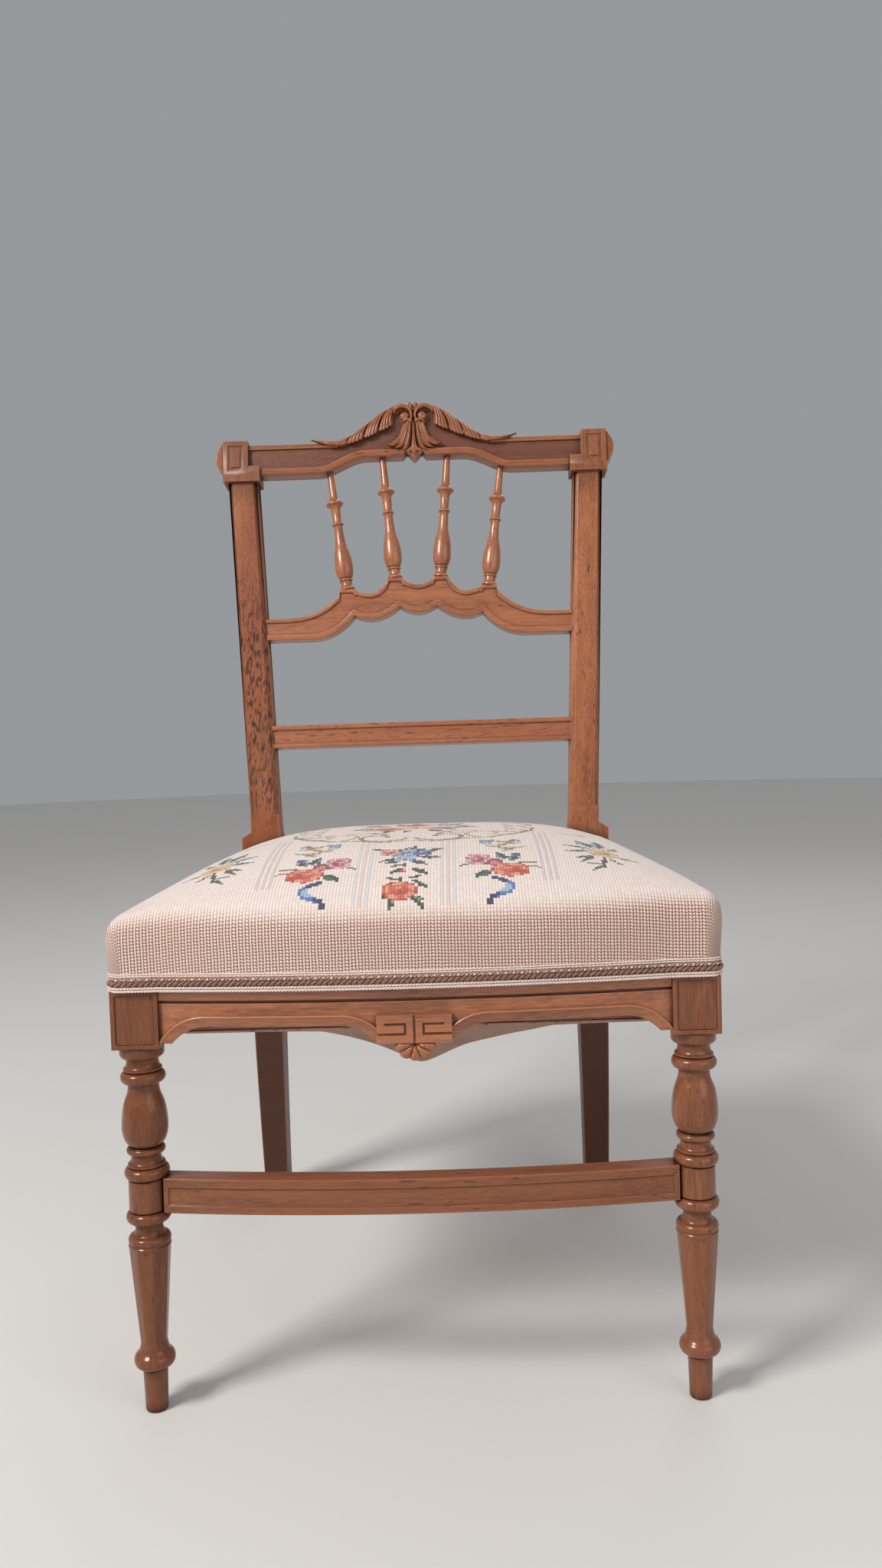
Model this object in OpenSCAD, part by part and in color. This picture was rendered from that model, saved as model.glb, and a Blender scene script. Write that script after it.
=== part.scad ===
// Low side chair: turned front legs, raked open back with four spindles, sprung stuffed-over seat

/* [Seat frame] */
// Width over the blocks of the front legs
seat_w = 440; // [410:5:470]
// Distance from the front leg axis to the front face of the rear legs
seat_d = 368; // [340:4:400]
// Width over the rear legs at the seat
rear_w = 382; // [366:2:400]
// Width of each rear leg at the seat
shoulder_w = 41; // [37:0.5:45]
// Depth of each rear leg at the seat
rear_leg_d = 32; // [29:0.5:36]
// How far the rear rail stands behind the front of the rear legs
rear_rail_set = 6; // [4:0.5:8]
// Thickness of the side, rear and front seat rails
rail_t = 22; // [18:1:26]
// How far the front rail bows forward
rail_bow = 12.5; // [6:0.5:18]
// How far the front rail face stands behind the face of the leg blocks
rail_setback = 1.5; // [0.5:0.5:3]
// Length of the front and side rail tenons
tenon_l = 15; // [10:1:17]
// Length of the rear rail tenons
rear_tenon_l = 12; // [8:1:13]
// Thickness of the seat rail tenons
tenon_t = 9; // [6:0.5:11]

/* [Front legs] */
// Height of the underside of the leg block
leg_h = 275; // [255:5:300]
// Side of the square leg block
block_w = 35; // [32:1:40]
// Height of the leg block, up to the top of the seat rails
block_h = 63; // [56:1:72]
// Depth of the sunk panel in the block
panel_sink = 1.2; // [0.6:0.2:2]
// Border round the sunk panel
panel_border = 5; // [4:0.5:7]
// Radius of the collar under the block
collar_r = 16.3; // [14:0.1:17]
// Radius of the ring under the neck
ring1_r = 16.5; // [15:0.1:17.5]
// Largest radius of the bulb
bulb_r = 16.8; // [14:0.1:18]
// Radius of the two rings that hold the stretcher stage
ring2_r = 16.3; // [15:0.1:18]
// Radius of the plain stage that takes the stretcher
stage_r = 14; // [12:0.2:14.6]
// Height of the plain stage that takes the stretcher
stage_h = 24; // [20:1:30]
// Height of the turning between the block and that stage
turning_h = 99; // [97:1:112]
// Radius at the top of the eight-sided taper
taper_r = 15.6; // [14:0.1:16.5]
// Radius at the foot of the eight-sided taper
ankle_r = 9.6; // [8:0.1:11]
// Radius of the ankle ring
ankle_ring_r = 15.2; // [13:0.1:17]
// Height of the ankle ring and its fillet
ankle_h = 18; // [14:1:22]
// Height of the plain peg foot
peg_h = 32; // [24:1:40]
// Radius of the peg foot at the floor
peg_r = 8.2; // [7:0.1:9]

/* [Front stretcher] */
// Height of the stretcher board
stretcher_h = 26; // [20:1:28]
// Thickness of the stretcher board
stretcher_t = 17; // [13:1:20]
// How far the stretcher bows forward
stretcher_bow = 13; // [6:1:20]
// Radius of the round tenons of the stretcher
stretcher_pin_r = 5.5; // [4:0.25:6.5]

/* [Front rail carving] */
// Rise of the arch from the block underside to the rail underside
arch_rise = 11; // [6:1:16]
// Width of each end drop beside the block
drop_w = 19; // [12:1:30]
// Width of the raised key block in the middle
key_w = 54; // [44:2:64]
// Height of the raised key block
key_h = 20.5; // [16:0.5:24]
// How far the key block stands proud
key_proud = 2; // [1:0.25:3]
// Width of the key groove
key_groove = 1.3; // [0.8:0.1:2]
// Radius of the shell pendant
shell_r = 15.5; // [11:0.5:19]

/* [Back] */
// Rake of the back
rake = 8.8; // [4:0.2:14]
// Height of the shoulder of the rear leg above the seat rails
shoulder_h = 60; // [52:1:72]
// Width of each stile
stile_w = 30; // [26:1:33]
// Depth of each stile
stile_t = 25; // [22:1:28]
// Outward lean of the stiles, as a rise in x per mm of height
stile_lean = 0.0525; // [0.02:0.0025:0.07]
// Chamfer on the front edges of the stiles
stile_chamfer = 4.5; // [2:0.5:6]
// Height of the die plinth above the shoulder, along the stile
plinth_s = 377.5; // [365:0.5:395]
// Height of the plinth under the die
plinth_h = 7.5; // [5:0.5:10]
// How far the plinth reaches inside the die
plinth_step = 12.5; // [9:0.5:15]
// Width of the die
die_w = 27; // [24:1:32]
// How far the die stands outside the stile
die_step = 5.5; // [3:0.5:8]
// Height of the die
die_h = 38; // [35:1:44]
// How far the die stands proud of the stile
die_proud = 3; // [1.5:0.5:5]
// How far the half-round ear stands out
ear_out = 8; // [5:0.5:12]
// Height of the half-round ear
ear_h = 35; // [26:1:36]
// How far back the rear foot lies from the seat rail
foot_back = 41; // [25:1:60]
// Side of the rear foot
foot_w = 25; // [22:1:30]

/* [Back rails] */
// Height of the lower back rail above the shoulder
low_s = 88; // [70:1:110]
// Width of the lower back rail
low_h = 24; // [18:1:32]
// Thickness of the lower and the scalloped rail
thin_t = 17; // [13:1:20]
// Height of the underside of the scalloped rail above the shoulder
scallop_s = 204; // [190:1:215]
// Width of the scalloped rail at its ends
scallop_h = 23; // [18:1:28]
// Half spacing of the outer spindle pads
pad_out_x = 76; // [72:1:80]
// Half spacing of the inner spindle pads
pad_in_x = 24.5; // [22:0.5:27]
// Width of each spindle pad
pad_w = 15.5; // [13:0.5:18]
// Height of the outer pads above the rail underside
pad_out_h = 53.5; // [48:0.5:58]
// Height of the inner pads above the rail underside
pad_in_h = 64.5; // [60:0.5:70]
// Thickness of the crest rail
crest_t = 20; // [16:1:23]
// Width of the crest rail at its ends
crest_h = 33; // [28:0.5:35]
// Rise of the top arch of the crest rail
crest_arch = 39; // [25:1:50]
// Half width of the top arch
crest_arch_x = 88; // [70:1:110]
// Rise of the underside at the middle
crest_lift = 17; // [8:1:20]
// Length of the back rail tenons
back_tenon_l = 12; // [8:1:14]
// Thickness of the tenons of the lower and the scalloped rail
back_tenon_t = 8; // [6:0.5:10]

/* [Spindles] */
// Half spacing of the outer spindles at the crest rail
top_out_x = 92; // [84:1:98]
// Half spacing of the inner spindles at the crest rail
top_in_x = 35; // [30:0.5:42]
// Largest radius of the vase
vase_r = 9.8; // [7:0.1:11]
// Radius of the neck
neck_r = 3.9; // [3.4:0.1:5]
// Radius of the neck ring
neck_ring_r = 9.2; // [7:0.1:10]
// Radius of the spindle pegs
spindle_peg_r = 3; // [2:0.1:3.3]
// Length of the spindle pegs
spindle_peg_l = 8; // [5:0.5:10]

/* [Upholstery] */
// Height of the crown above the seat rails
crown = 74; // [55:1:90]
// Height of the front edge above the seat rails
edge_h = 33; // [25:1:42]
// Swell of the sides
swell = 3.5; // [1:0.5:6]
// How far the cover laps down over the rails
lap = 21; // [16:1:26]
// Thickness of the cover
cover_t = 1.6; // [1:0.2:2.4]
// Height of the gimp braid
gimp_h = 14; // [10:1:15]
// Thickness of the gimp braid
gimp_t = 2; // [1.2:0.2:3]
// Thickness of the sheets of hessian
sheet_t = 0.8; // [0.6:0.1:1.2]
// How far the webbing sags in the middle
sag = 39; // [5:1:50]
// Width of a webbing strip
web_w = 50; // [40:1:56]
// Rise of the spring canvas in the middle
canvas_rise = 14; // [8:1:20]
// Wire of the seat springs
wire_d = 3.2; // [2.4:0.2:4]
// Radius of the end coils
coil_r = 36; // [28:1:42]
// Radius of the waist coil
waist_r = 22; // [16:1:26]
// Turns of each spring
turns = 4; // [3:1:5]
// How far the outer springs stand from the middle spring, across the seat
spring_dx = 76; // [64:1:82]
// How far the outer springs stand from the middle spring, front to back
spring_dy = 82; // [72:1:86]

/* [Joinery] */
// Clearance round tenons and pins
fit = 0.15; // [0.05:0.05:0.3]
// Clearance between soft layers
ease = 0.3; // [0.2:0.05:0.5]
// Leg of the corner blocks
corner_l = 42; // [30:1:52]
// Shank radius of the corner block screws
screw_r = 2.2; // [1.6:0.1:2.8]

/* [Hidden] */
$fn = 48;

wood = [0.62, 0.40, 0.28];
dark_wood = [0.47, 0.29, 0.21];

// Levels of the seat frame
rail_top = leg_h + block_h;
rail_z = leg_h + arch_rise;
rail_h = rail_top - rail_z;
far = seat_w; // Past the end of any piece that is cut
leg_x = seat_w / 2 - block_w / 2;
block_half = block_w / 2;
front_y = -block_half + rail_setback;
rail_in_y = front_y + rail_t;
rear_out = rear_w / 2;
rear_in = rear_out - shoulder_w;
rear_in_y = seat_d + rear_rail_set;
rear_face_y = rear_in_y + rail_t;
base_z = rail_top + shoulder_h;

// Places along the stiles
die_s = plinth_s + plinth_h;
top_s = die_s + die_h;
function stile_in(s) = rear_in + 1 + stile_lean * s;
function stile_out(s) = stile_in(s) + stile_w;
die_x = stile_out(plinth_s) + die_step - die_w;
plinth_in = die_x - plinth_step;
crest_s = die_s + fit;
crest_end = die_x;

// The origin lies under the middle of the overall box
back_y = seat_d + top_s * sin(rake) + stile_t * cos(rake);
cover_front_y = -block_half - rail_bow - ease - cover_t - swell;
mid_y = (back_y + cover_front_y) / 2;

function arc(cx, cy, rx, ry, a0, a1, n) =
    [for (i = [0 : n]) let (a = a0 + (a1 - a0) * i / n) [cx + rx * cos(a), cy + ry * sin(a)]];
function bezier(p0, p1, p2, n) =
    [for (i = [0 : n]) let (t = i / n)
        (1 - t) * (1 - t) * p0 + 2 * t * (1 - t) * p1 + t * t * p2];
function power_curve(x0, z0, x1, z1, p, n) =
    [for (i = [0 : n]) let (t = i / n) [x0 + (x1 - x0) * t, z0 + (z1 - z0) * pow(t, p)]];
function reversed(list) = [for (i = [len(list) - 1 : -1 : 0]) list[i]];
function flipped(list) = [for (p = reversed(list)) [-p[0], p[1]]];
function bump(x) = (1 - cos(180 * max(0, min(1, x)))) / 2;

// A slab whose outline lies in X and Z and whose thickness runs back from y
module slab_y(y, t) {
    translate([0, y + t, 0]) rotate([90, 0, 0]) linear_extrude(t) children();
}
// A slab whose outline lies in Y and Z and whose thickness runs outward from x
module slab_x(x, t) {
    translate([x, 0, 0]) rotate([90, 0, 90]) linear_extrude(t) children();
}
module on_back() {
    translate([0, seat_d, base_z]) rotate([-rake, 0, 0]) children();
}
module side(s) {
    if (s < 0) mirror([1, 0, 0]) children();
    else children();
}

// Turned front leg, from the floor up
taper_z = peg_h + ankle_h;
stage_z = leg_h - turning_h - stage_h;
stage_top = stage_z + stage_h;
stage_mid = stage_z + stage_h / 2;
stage_ring_h = 9;
shoulder_z = stage_z - 3 * stage_ring_h;
function bead(r, reach, z0, z1) = arc(r, (z0 + z1) / 2, reach, (z1 - z0) / 2, -90, 90, 8);
lower_turning = concat(
    [[0, 0], [peg_r - 1, 0], [peg_r, 1.2], [ankle_r - 0.3, peg_h]],
    bead(ankle_r + 1.5, ankle_ring_r - ankle_r - 1.5, peg_h, taper_z - 3),
    [[ankle_r - 0.3, taper_z], [ankle_r - 0.3, taper_z + 4], [0, taper_z + 4]]
);
upper_turning = concat(
    [[0, shoulder_z - 2], [taper_r - 1.5, shoulder_z - 2], [taper_r - 0.1, shoulder_z],
     [taper_r - 0.1, shoulder_z + 1.2], [taper_r - 1, shoulder_z + 1.6]],
    arc(taper_r - 3, shoulder_z + 5, 3, 3.2, -50, 80, 5),
    [[10.2, shoulder_z + 13], [9.8, shoulder_z + 18]],
    bead(12, ring2_r - 12, stage_z - stage_ring_h, stage_z),
    [[stage_r, stage_z + 0.5], [stage_r, stage_top - 0.5]],
    bead(12.4, ring2_r - 12.1, stage_top, stage_top + stage_ring_h),
    [[14, stage_top + 9.5], [13.6, stage_top + 11], [10.9, leg_h - 85.5], [10.9, leg_h - 82]],
    bead(11.8, 2.4, leg_h - 80.5, leg_h - 75.5),
    [[11.6, leg_h - 75]],
    arc(11.5, leg_h - 58, bulb_r - 11.5, 17, -78, 0, 6),
    bezier([bulb_r, leg_h - 58], [bulb_r - 0.4, leg_h - 45], [11.4, leg_h - 31], 6),
    [[11.3, leg_h - 28.5]],
    bead(12.4, ring1_r - 12.4, leg_h - 28, leg_h - 19),
    [[14.1, leg_h - 18.6], [14.1, leg_h - 17], [12, leg_h - 15.6], [11.7, leg_h - 11]],
    [[12.6, leg_h - 9], [collar_r - 0.6, leg_h - 8], [collar_r, leg_h - 6.5]],
    [[collar_r, leg_h + 0.5], [0, leg_h + 0.5]]
);
module front_leg(s) {
    panel = block_w - 2 * panel_border;
    panel_z = leg_h + panel_border;
    panel_top = rail_top - lap - panel_border + 1;
    side(s) difference() {
        translate([leg_x, 0, 0]) union() {
            rotate_extrude($fn = 64) polygon(lower_turning);
            rotate([0, 0, 22.5])
                translate([0, 0, taper_z])
                    cylinder(h = shoulder_z - taper_z, r1 = ankle_r, r2 = taper_r, $fn = 8);
            rotate_extrude($fn = 64) polygon(upper_turning);
            translate([-block_half, -block_half, leg_h]) cube([block_w, block_w, block_h]);
        }
        // Sunk panels on the two show faces
        translate([leg_x - panel / 2, -block_half - 1, panel_z])
            cube([panel, 1 + panel_sink, panel_top - panel_z]);
        translate([leg_x + block_half - panel_sink, -panel / 2, panel_z])
            cube([1 + panel_sink, panel, panel_top - panel_z]);
        // Mortises for the front rail, the side rail and the stretcher
        translate([leg_x - block_half - 1, front_tenon_y - fit, rail_z + front_tenon_in - fit])
            cube([tenon_l + 1.5, tenon_t + 2 * fit, rail_h - 2 * front_tenon_in + 2 * fit]);
        translate([side_tenon_x - fit, block_half - tenon_l - 0.5, rail_z + side_tenon_in - fit])
            cube([tenon_t + 2 * fit, tenon_l + 1.5, rail_h - 2 * side_tenon_in + 2 * fit]);
        translate([leg_x - stage_r - 3, 0, stage_mid]) rotate([0, 90, 0])
            cylinder(h = stage_r + 6, r = stretcher_pin_r + fit);
        screw_hole(1);
    }
}
// Shoulders of the tenons, above and below them and in front of them
front_tenon_in = 6;
side_tenon_in = 10;
rear_tenon_in = 8;
tenon_back = 5;
front_tenon_y = -block_half + tenon_back;
side_tenon_x = leg_x + block_half - tenon_back - tenon_t;

// Rear leg: one sawn piece from the floor to the top of the die
function lerp(a, b, t) = a + (b - a) * t;
leg_side = concat(
    bezier([seat_d + foot_back, 0], [seat_d + 3, rail_z * 0.62], [seat_d, rail_z], 8),
    [[seat_d, base_z],
     [seat_d + top_s * sin(rake), base_z + top_s * cos(rake)],
     [seat_d + top_s * sin(rake) + stile_t * cos(rake),
      base_z + top_s * cos(rake) - stile_t * sin(rake)],
     [seat_d + stile_t / cos(rake) + 6 * tan(rake), base_z + 6],
     [seat_d + rear_leg_d, rail_top + 12], [seat_d + rear_leg_d, rail_z]],
    bezier([seat_d + rear_leg_d, rail_z], [seat_d + rear_leg_d + 2, rail_z * 0.6],
           [seat_d + foot_back + foot_w, 0], 8)
);
foot_x = rear_out - 4;
rise = cos(rake);
leg_front = [
    [foot_x - foot_w, -1], [foot_x, -1], [rear_out - 4, rail_z - 2], [rear_out, rail_z + 4],
    [rear_out, base_z - 6], [stile_out(0), base_z],
    [stile_out(top_s), base_z + top_s * rise + 1],
    [stile_in(top_s), base_z + top_s * rise + 1], [stile_in(0), base_z],
    [rear_in, base_z - 8], [rear_in, rail_z + 4], [rear_in + 4, rail_z - 2]
];
// How far the chamfers of the stile stop short of the shoulder and the plinth
chamfer_stop = 18;
module stile_edge_cut(x) {
    cut = stile_chamfer * sqrt(2);
    lean = atan(stile_lean);
    translate([x, 0, chamfer_stop]) rotate([0, lean, 0]) rotate([0, 0, 45])
        translate([-cut / 2, -cut / 2, 0]) cube([cut, cut, plinth_s - 2 * chamfer_stop]);
}
module rear_leg(s) {
    side(s) difference() {
        union() {
            difference() {
                intersection() {
                    slab_x(0, far) polygon(leg_side);
                    slab_y(seat_d - stile_t, far) polygon(leg_front);
                }
                on_back() translate([0, -far / 2, plinth_s + 1]) cube([far, far, far]);
            }
            on_back() {
                translate([plinth_in, -die_proud - 1, plinth_s])
                    cube([die_x + die_w - plinth_in, stile_t + die_proud + 1, plinth_h]);
                translate([die_x, -die_proud, plinth_s + 1])
                    cube([die_w, stile_t + die_proud, plinth_h + die_h - 1]);
                translate([plinth_in, -die_proud, plinth_s + 1])
                    cube([die_x + 1 - plinth_in, die_proud - 0.3, plinth_h + 9]);
            }
        }
        on_back() {
            stile_edge_cut(stile_in(chamfer_stop));
            stile_edge_cut(stile_out(chamfer_stop));
            // Sunk line round the face of the die
            translate([die_x + die_border, -die_proud - 1, die_s + die_border]) difference() {
                cube([die_w - 2 * die_border, 2, die_h - 2 * die_border]);
                translate([3, -1, 3])
                    cube([die_w - 2 * die_border - 6, 4, die_h - 2 * die_border - 6]);
            }
            // Mortises for the crest rail, the scalloped rail, the lower rail and the ear
            translate([die_x - 1, tenon_back - fit, crest_s + tenon_back - fit])
                cube([back_tenon_l + 1.5, crest_t - 2 * tenon_back + 2 * fit,
                      crest_h - 2 * tenon_back + 2 * fit]);
            back_tenon(scallop_s, scallop_h, fit, 1);
            back_tenon(low_s, low_h, fit, 1);
            translate([die_x + die_w - ear_pin_l - 1, ear_pin_y, die_s + die_h / 2])
                rotate([0, 90, 0]) cylinder(h = ear_pin_l + 2, r = ear_pin_r + fit);
        }
        // Mortises for the side rail and the rear rail
        translate([side_rear_x - fit, seat_d - 1, rail_z + side_tenon_in - fit])
            cube([tenon_t + 2 * fit, tenon_l + 1.5, rail_h - 2 * side_tenon_in + 2 * fit]);
        translate([rear_in - 1, rear_in_y + rail_t / 2 - tenon_t / 2 - fit, rail_z + rear_tenon_in - fit])
            cube([rear_tenon_l + 1.5, tenon_t + 2 * fit, rail_h - 2 * rear_tenon_in + 2 * fit]);
        screw_hole(-1);
    }
}
// A tenon of a thin back rail of height h at s, let into the inner face of the stile
module back_tenon(s, h, slack, over) {
    cheek = h - 2 * tenon_back;
    translate([stile_in(s) - over - 2, thin_y + (thin_t - back_tenon_t) / 2 - slack,
               s + tenon_back - slack])
        cube([back_tenon_l + over + 2 + slack, back_tenon_t + 2 * slack, cheek + 2 * slack]);
}
// Border of the sunk line on the die, and the round pin of the ear
die_border = 5.5;
ear_pin_r = 3;
ear_pin_l = 8;
ear_pin_y = stile_t / 2 - 1.5;
thin_y = 3;

// Seat rails
bow_half = leg_x - block_half;
bow_r = (bow_half * bow_half + rail_bow * rail_bow) / (2 * rail_bow);
function bow_y(x) = rail_bow - bow_r + sqrt(bow_r * bow_r - min(abs(x), bow_half) ^ 2);
// Level of the key block, and the sunk field between the bead and the arched border
key_z = rail_z - key_h + 9;
field_top = rail_top - lap - 4.5;
field_border = 5.5;
field_sink = 1.2;
apron_half = concat(
    [[bow_half, rail_top], [bow_half, leg_h + 0.5], [bow_half - drop_w * 0.45, leg_h + 0.5]],
    power_curve(bow_half - drop_w * 0.45, leg_h + 0.5, bow_half - drop_w * 1.6, rail_z, 0.55, 8),
    reversed(power_curve(key_w / 2, key_z + 1, key_w / 2 + 34, rail_z, 0.7, 6)),
    [[key_w / 2, key_z]]
);
function inner_half(d) = concat(
    [[bow_half - 6, field_top]],
    power_curve(bow_half - 5, leg_h + 8, bow_half - drop_w * 1.5, rail_z + d, 0.55, 8),
    reversed(power_curve(key_w / 2 + 1, rail_z - 1, key_w / 2 + 30, rail_z + d, 0.7, 6)),
    [[key_w / 2 + 1, key_z + key_h - 1], [0, key_z + key_h - 1]]
);
module bowed(r, depth, z0, z1) {
    translate([0, front_y - rail_bow + r, z0]) difference() {
        cylinder(h = z1 - z0, r = r, $fn = 180);
        translate([0, 0, -1]) cylinder(h = z1 - z0 + 2, r = r - depth, $fn = 180);
    }
}
module front_seat_rail() color(wood) {
    key_y = front_y - rail_bow;
    difference() {
        union() {
            intersection() {
                slab_y(front_y - rail_bow - 1, rail_t + rail_bow + 1)
                    polygon(concat(apron_half, flipped(apron_half)));
                translate([0, front_y - rail_bow + bow_r, 0])
                    cylinder(h = rail_top + 1, r = bow_r, $fn = 180);
            }
            for (s = [-1, 1]) side(s)
                translate([bow_half - 1, front_tenon_y, rail_z + front_tenon_in])
                    cube([tenon_l + 1, tenon_t, rail_h - 2 * front_tenon_in]);
            slab_y(key_y - key_proud, key_proud + 3)
                translate([-key_w / 2, key_z]) square([key_w, key_h]);
        }
        // Rebate behind the shaped edge, where the webbing is tacked to a straight underside
        translate([-seat_w / 2, rail_in_y - rebate, leg_h - 40])
            cube([seat_w, rebate + 1, rail_z - leg_h + 40]);
        // Sunk field between the bead under the cover and the arched border
        for (s = [-1, 1]) side(s) intersection() {
            slab_y(front_y - rail_bow - 1, rail_t)
                polygon(concat([[0, field_top]], inner_half(field_border)));
            bowed(bow_r + 2, 2 + field_sink, leg_h, rail_top);
            translate([1, -far / 2, 0]) cube([seat_w, far, rail_top]);
        }
        // Key pattern: a middle split and a squared hook on each side
        translate([-key_groove / 2, key_y - key_proud - 1, key_z - 1])
            cube([key_groove, 2, key_h + 2]);
        for (s = [-1, 1]) side(s) for (bar = key_bars)
            translate([bar[0], key_y - key_proud - 1, key_z + bar[1]])
                cube([bar[2], 2, bar[3]]);
        for (x = web_long_x, dx = tack_dx)
            translate([x + dx, rail_in_y - tack_in, rail_z - 1]) cylinder(h = 10, r = tack_r + fit);
    }
}
rebate = 16;
// Grooves of one key hook: x, height, length and width of each
key_bars = [
    [key_w * 0.11, key_h * 0.65, key_w * 0.27, key_groove],
    [key_w * 0.11, key_h * 0.3, key_groove, key_h * 0.35],
    [key_w * 0.11, key_h * 0.3, key_w * 0.4, key_groove]
];

// Shell under the key block: five lobes fanned from the middle of the block
module shell_pendant() color(wood) {
    y = front_y - rail_bow;
    difference() {
        intersection() {
            union() for (i = [-2 : 2])
                translate([0, y + 4, key_z - 0.1]) rotate([0, 180 + i * 31, 0])
                    cylinder(h = shell_r + (2 - abs(i)) * 1.6, r1 = 2, r2 = 6.2);
            slab_y(y - 1.5, 10) translate([-shell_r * 1.3, key_z - shell_r - 5])
                square([shell_r * 2.6, shell_r + 4.9]);
            translate([0, y + 8, key_z]) rotate([90, 0, 0])
                cylinder(h = 16, r1 = shell_r + 3.4, r2 = shell_r + 0.6);
        }
        for (i = [-1.5 : 1 : 1.5])
            translate([0, y - 1, key_z]) rotate([0, 180 + i * 31, 0])
                translate([-0.4, -1.5, 5]) cube([0.8, 2, shell_r + 6]);
    }
}

// Outer face of the side rail, straight from the leg block to the rear leg
side_l = seat_d - block_half;
function side_out(y) =
    lerp(seat_w / 2 - 1, rear_out - 0.5, (y - block_half) / side_l);
function side_in(y) = side_out(y) - rail_t;
side_rear_x = side_out(seat_d) - tenon_back - tenon_t;
module side_seat_rail(s) {
    side(s) difference() {
        union() {
            translate([0, 0, rail_z]) linear_extrude(rail_h) polygon([
                [side_out(block_half), block_half], [side_out(seat_d), seat_d],
                [side_in(seat_d), seat_d], [side_in(block_half), block_half]]);
            translate([side_tenon_x, block_half - tenon_l, rail_z + side_tenon_in])
                cube([tenon_t, tenon_l + 1, rail_h - 2 * side_tenon_in]);
            translate([side_rear_x, seat_d - 1, rail_z + side_tenon_in])
                cube([tenon_t, tenon_l + 1, rail_h - 2 * side_tenon_in]);
        }
        // Groove under the cover, in line with the front rail's field
        translate([side_out(block_half), block_half, field_top - 1.5])
            rotate([0, 0, atan((side_out(block_half) - side_out(seat_d)) / side_l)])
                translate([-1.2, -1, 0]) cube([3, side_l + 4, 1.6]);
        for (y = web_cross_y, dy = tack_dx)
            translate([side_in(y + dy) + tack_in, y + dy, rail_z - 1])
                cylinder(h = 10, r = tack_r + fit);
    }
}
module rear_seat_rail() color(wood) {
    difference() {
        union() {
            translate([-rear_in, rear_in_y, rail_z]) cube([2 * rear_in, rail_t, rail_h]);
            for (s = [-1, 1]) side(s)
                translate([rear_in - 1, rear_in_y + rail_t / 2 - tenon_t / 2, rail_z + rear_tenon_in])
                    cube([rear_tenon_l + 1, tenon_t, rail_h - 2 * rear_tenon_in]);
        }
        for (x = web_long_x, dx = tack_dx)
            translate([x + dx, rear_in_y + tack_in, rail_z - 1]) cylinder(h = 10, r = tack_r + fit);
    }
}

// Bowed stretcher with a sunk field, on round tenons in the plain stages of the legs
module front_stretcher() color(wood) {
    half = leg_x - stage_r + 0.6;
    r = (half * half + stretcher_bow * stretcher_bow) / (2 * stretcher_bow);
    y0 = -stretcher_t / 2;
    z0 = stage_mid - stretcher_h / 2;
    difference() {
        intersection() {
            translate([-half, y0 - stretcher_bow, z0])
                cube([2 * half, stretcher_t + stretcher_bow, stretcher_h]);
            translate([0, y0 - stretcher_bow + r, z0]) difference() {
                cylinder(h = stretcher_h, r = r, $fn = 180);
                translate([0, 0, -1])
                    cylinder(h = stretcher_h + 2, r = r - stretcher_t, $fn = 180);
            }
        }
        translate([0, y0 - stretcher_bow + r, z0 + 6]) difference() {
            translate([-half + 4, -r - 5, 0]) cube([2 * half - 8, r, stretcher_h - 13]);
            translate([0, 0, -1]) cylinder(h = stretcher_h, r = r - 1, $fn = 180);
        }
        // The ends are hollowed to seat on the round stages
        for (s = [-1, 1]) side(s) translate([leg_x, 0, z0 - 1])
            cylinder(h = stretcher_h + 2, r = stage_r);
    }
    for (s = [-1, 1]) side(s) translate([half - 7, 0, stage_mid]) rotate([0, 90, 0])
        cylinder(h = 7 + stage_r - 2, r = stretcher_pin_r);
}

// Crest rail outlines, as x and height above the shoulder
function crest_low(d, x1) = concat(
    [[x1, crest_s + d], [crest_end - 74, crest_s + d]],
    power_curve(crest_end - 74, crest_s + d, 52, crest_s + crest_lift + d, 1.35, 8),
    [[0, crest_s + crest_lift + d]]
);
function crest_high(d, x1) = concat(
    [[x1, crest_s + crest_h + d]],
    [for (i = [0 : 12]) let (x = crest_arch_x * (1 - i / 12))
        [x, crest_s + crest_h + d + crest_arch * bump((crest_arch_x - x) / (crest_arch_x - 10))]]
);
function low_at(x) = crest_s + (abs(x) < 52 ? crest_lift
    : abs(x) > crest_end - 74 ? 0
    : crest_lift * pow((crest_end - 74 - abs(x)) / (crest_end - 126), 1.35));
module crest_rail() color(wood) {
    on_back() {
        crest_board();
        crest_carving();
    }
}
module crest_board() {
    difference() {
        union() {
            slab_y(0, crest_t) polygon(concat(
                crest_low(0, crest_end), flipped(crest_low(0, crest_end)),
                reversed(flipped(crest_high(0, crest_end))), reversed(crest_high(0, crest_end))));
            for (s = [-1, 1]) side(s)
                translate([crest_end - 1, tenon_back, crest_s + tenon_back])
                    cube([back_tenon_l + 1, crest_t - 2 * tenon_back, crest_h - 2 * tenon_back]);
        }
        slab_y(-1, 2.5) polygon(concat(
            crest_low(6, crest_end - 5), flipped(crest_low(6, crest_end - 5)),
            reversed(flipped(crest_high(-6, crest_end - 5))),
            reversed(crest_high(-6, crest_end - 5))));
        for (i = [0 : 3]) spindle_place(i) translate([0, 0, spindle_l(i) - 20])
            cylinder(h = 20 + spindle_peg_l + 0.5, r = spindle_peg_r + fit);
    }
}
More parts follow.
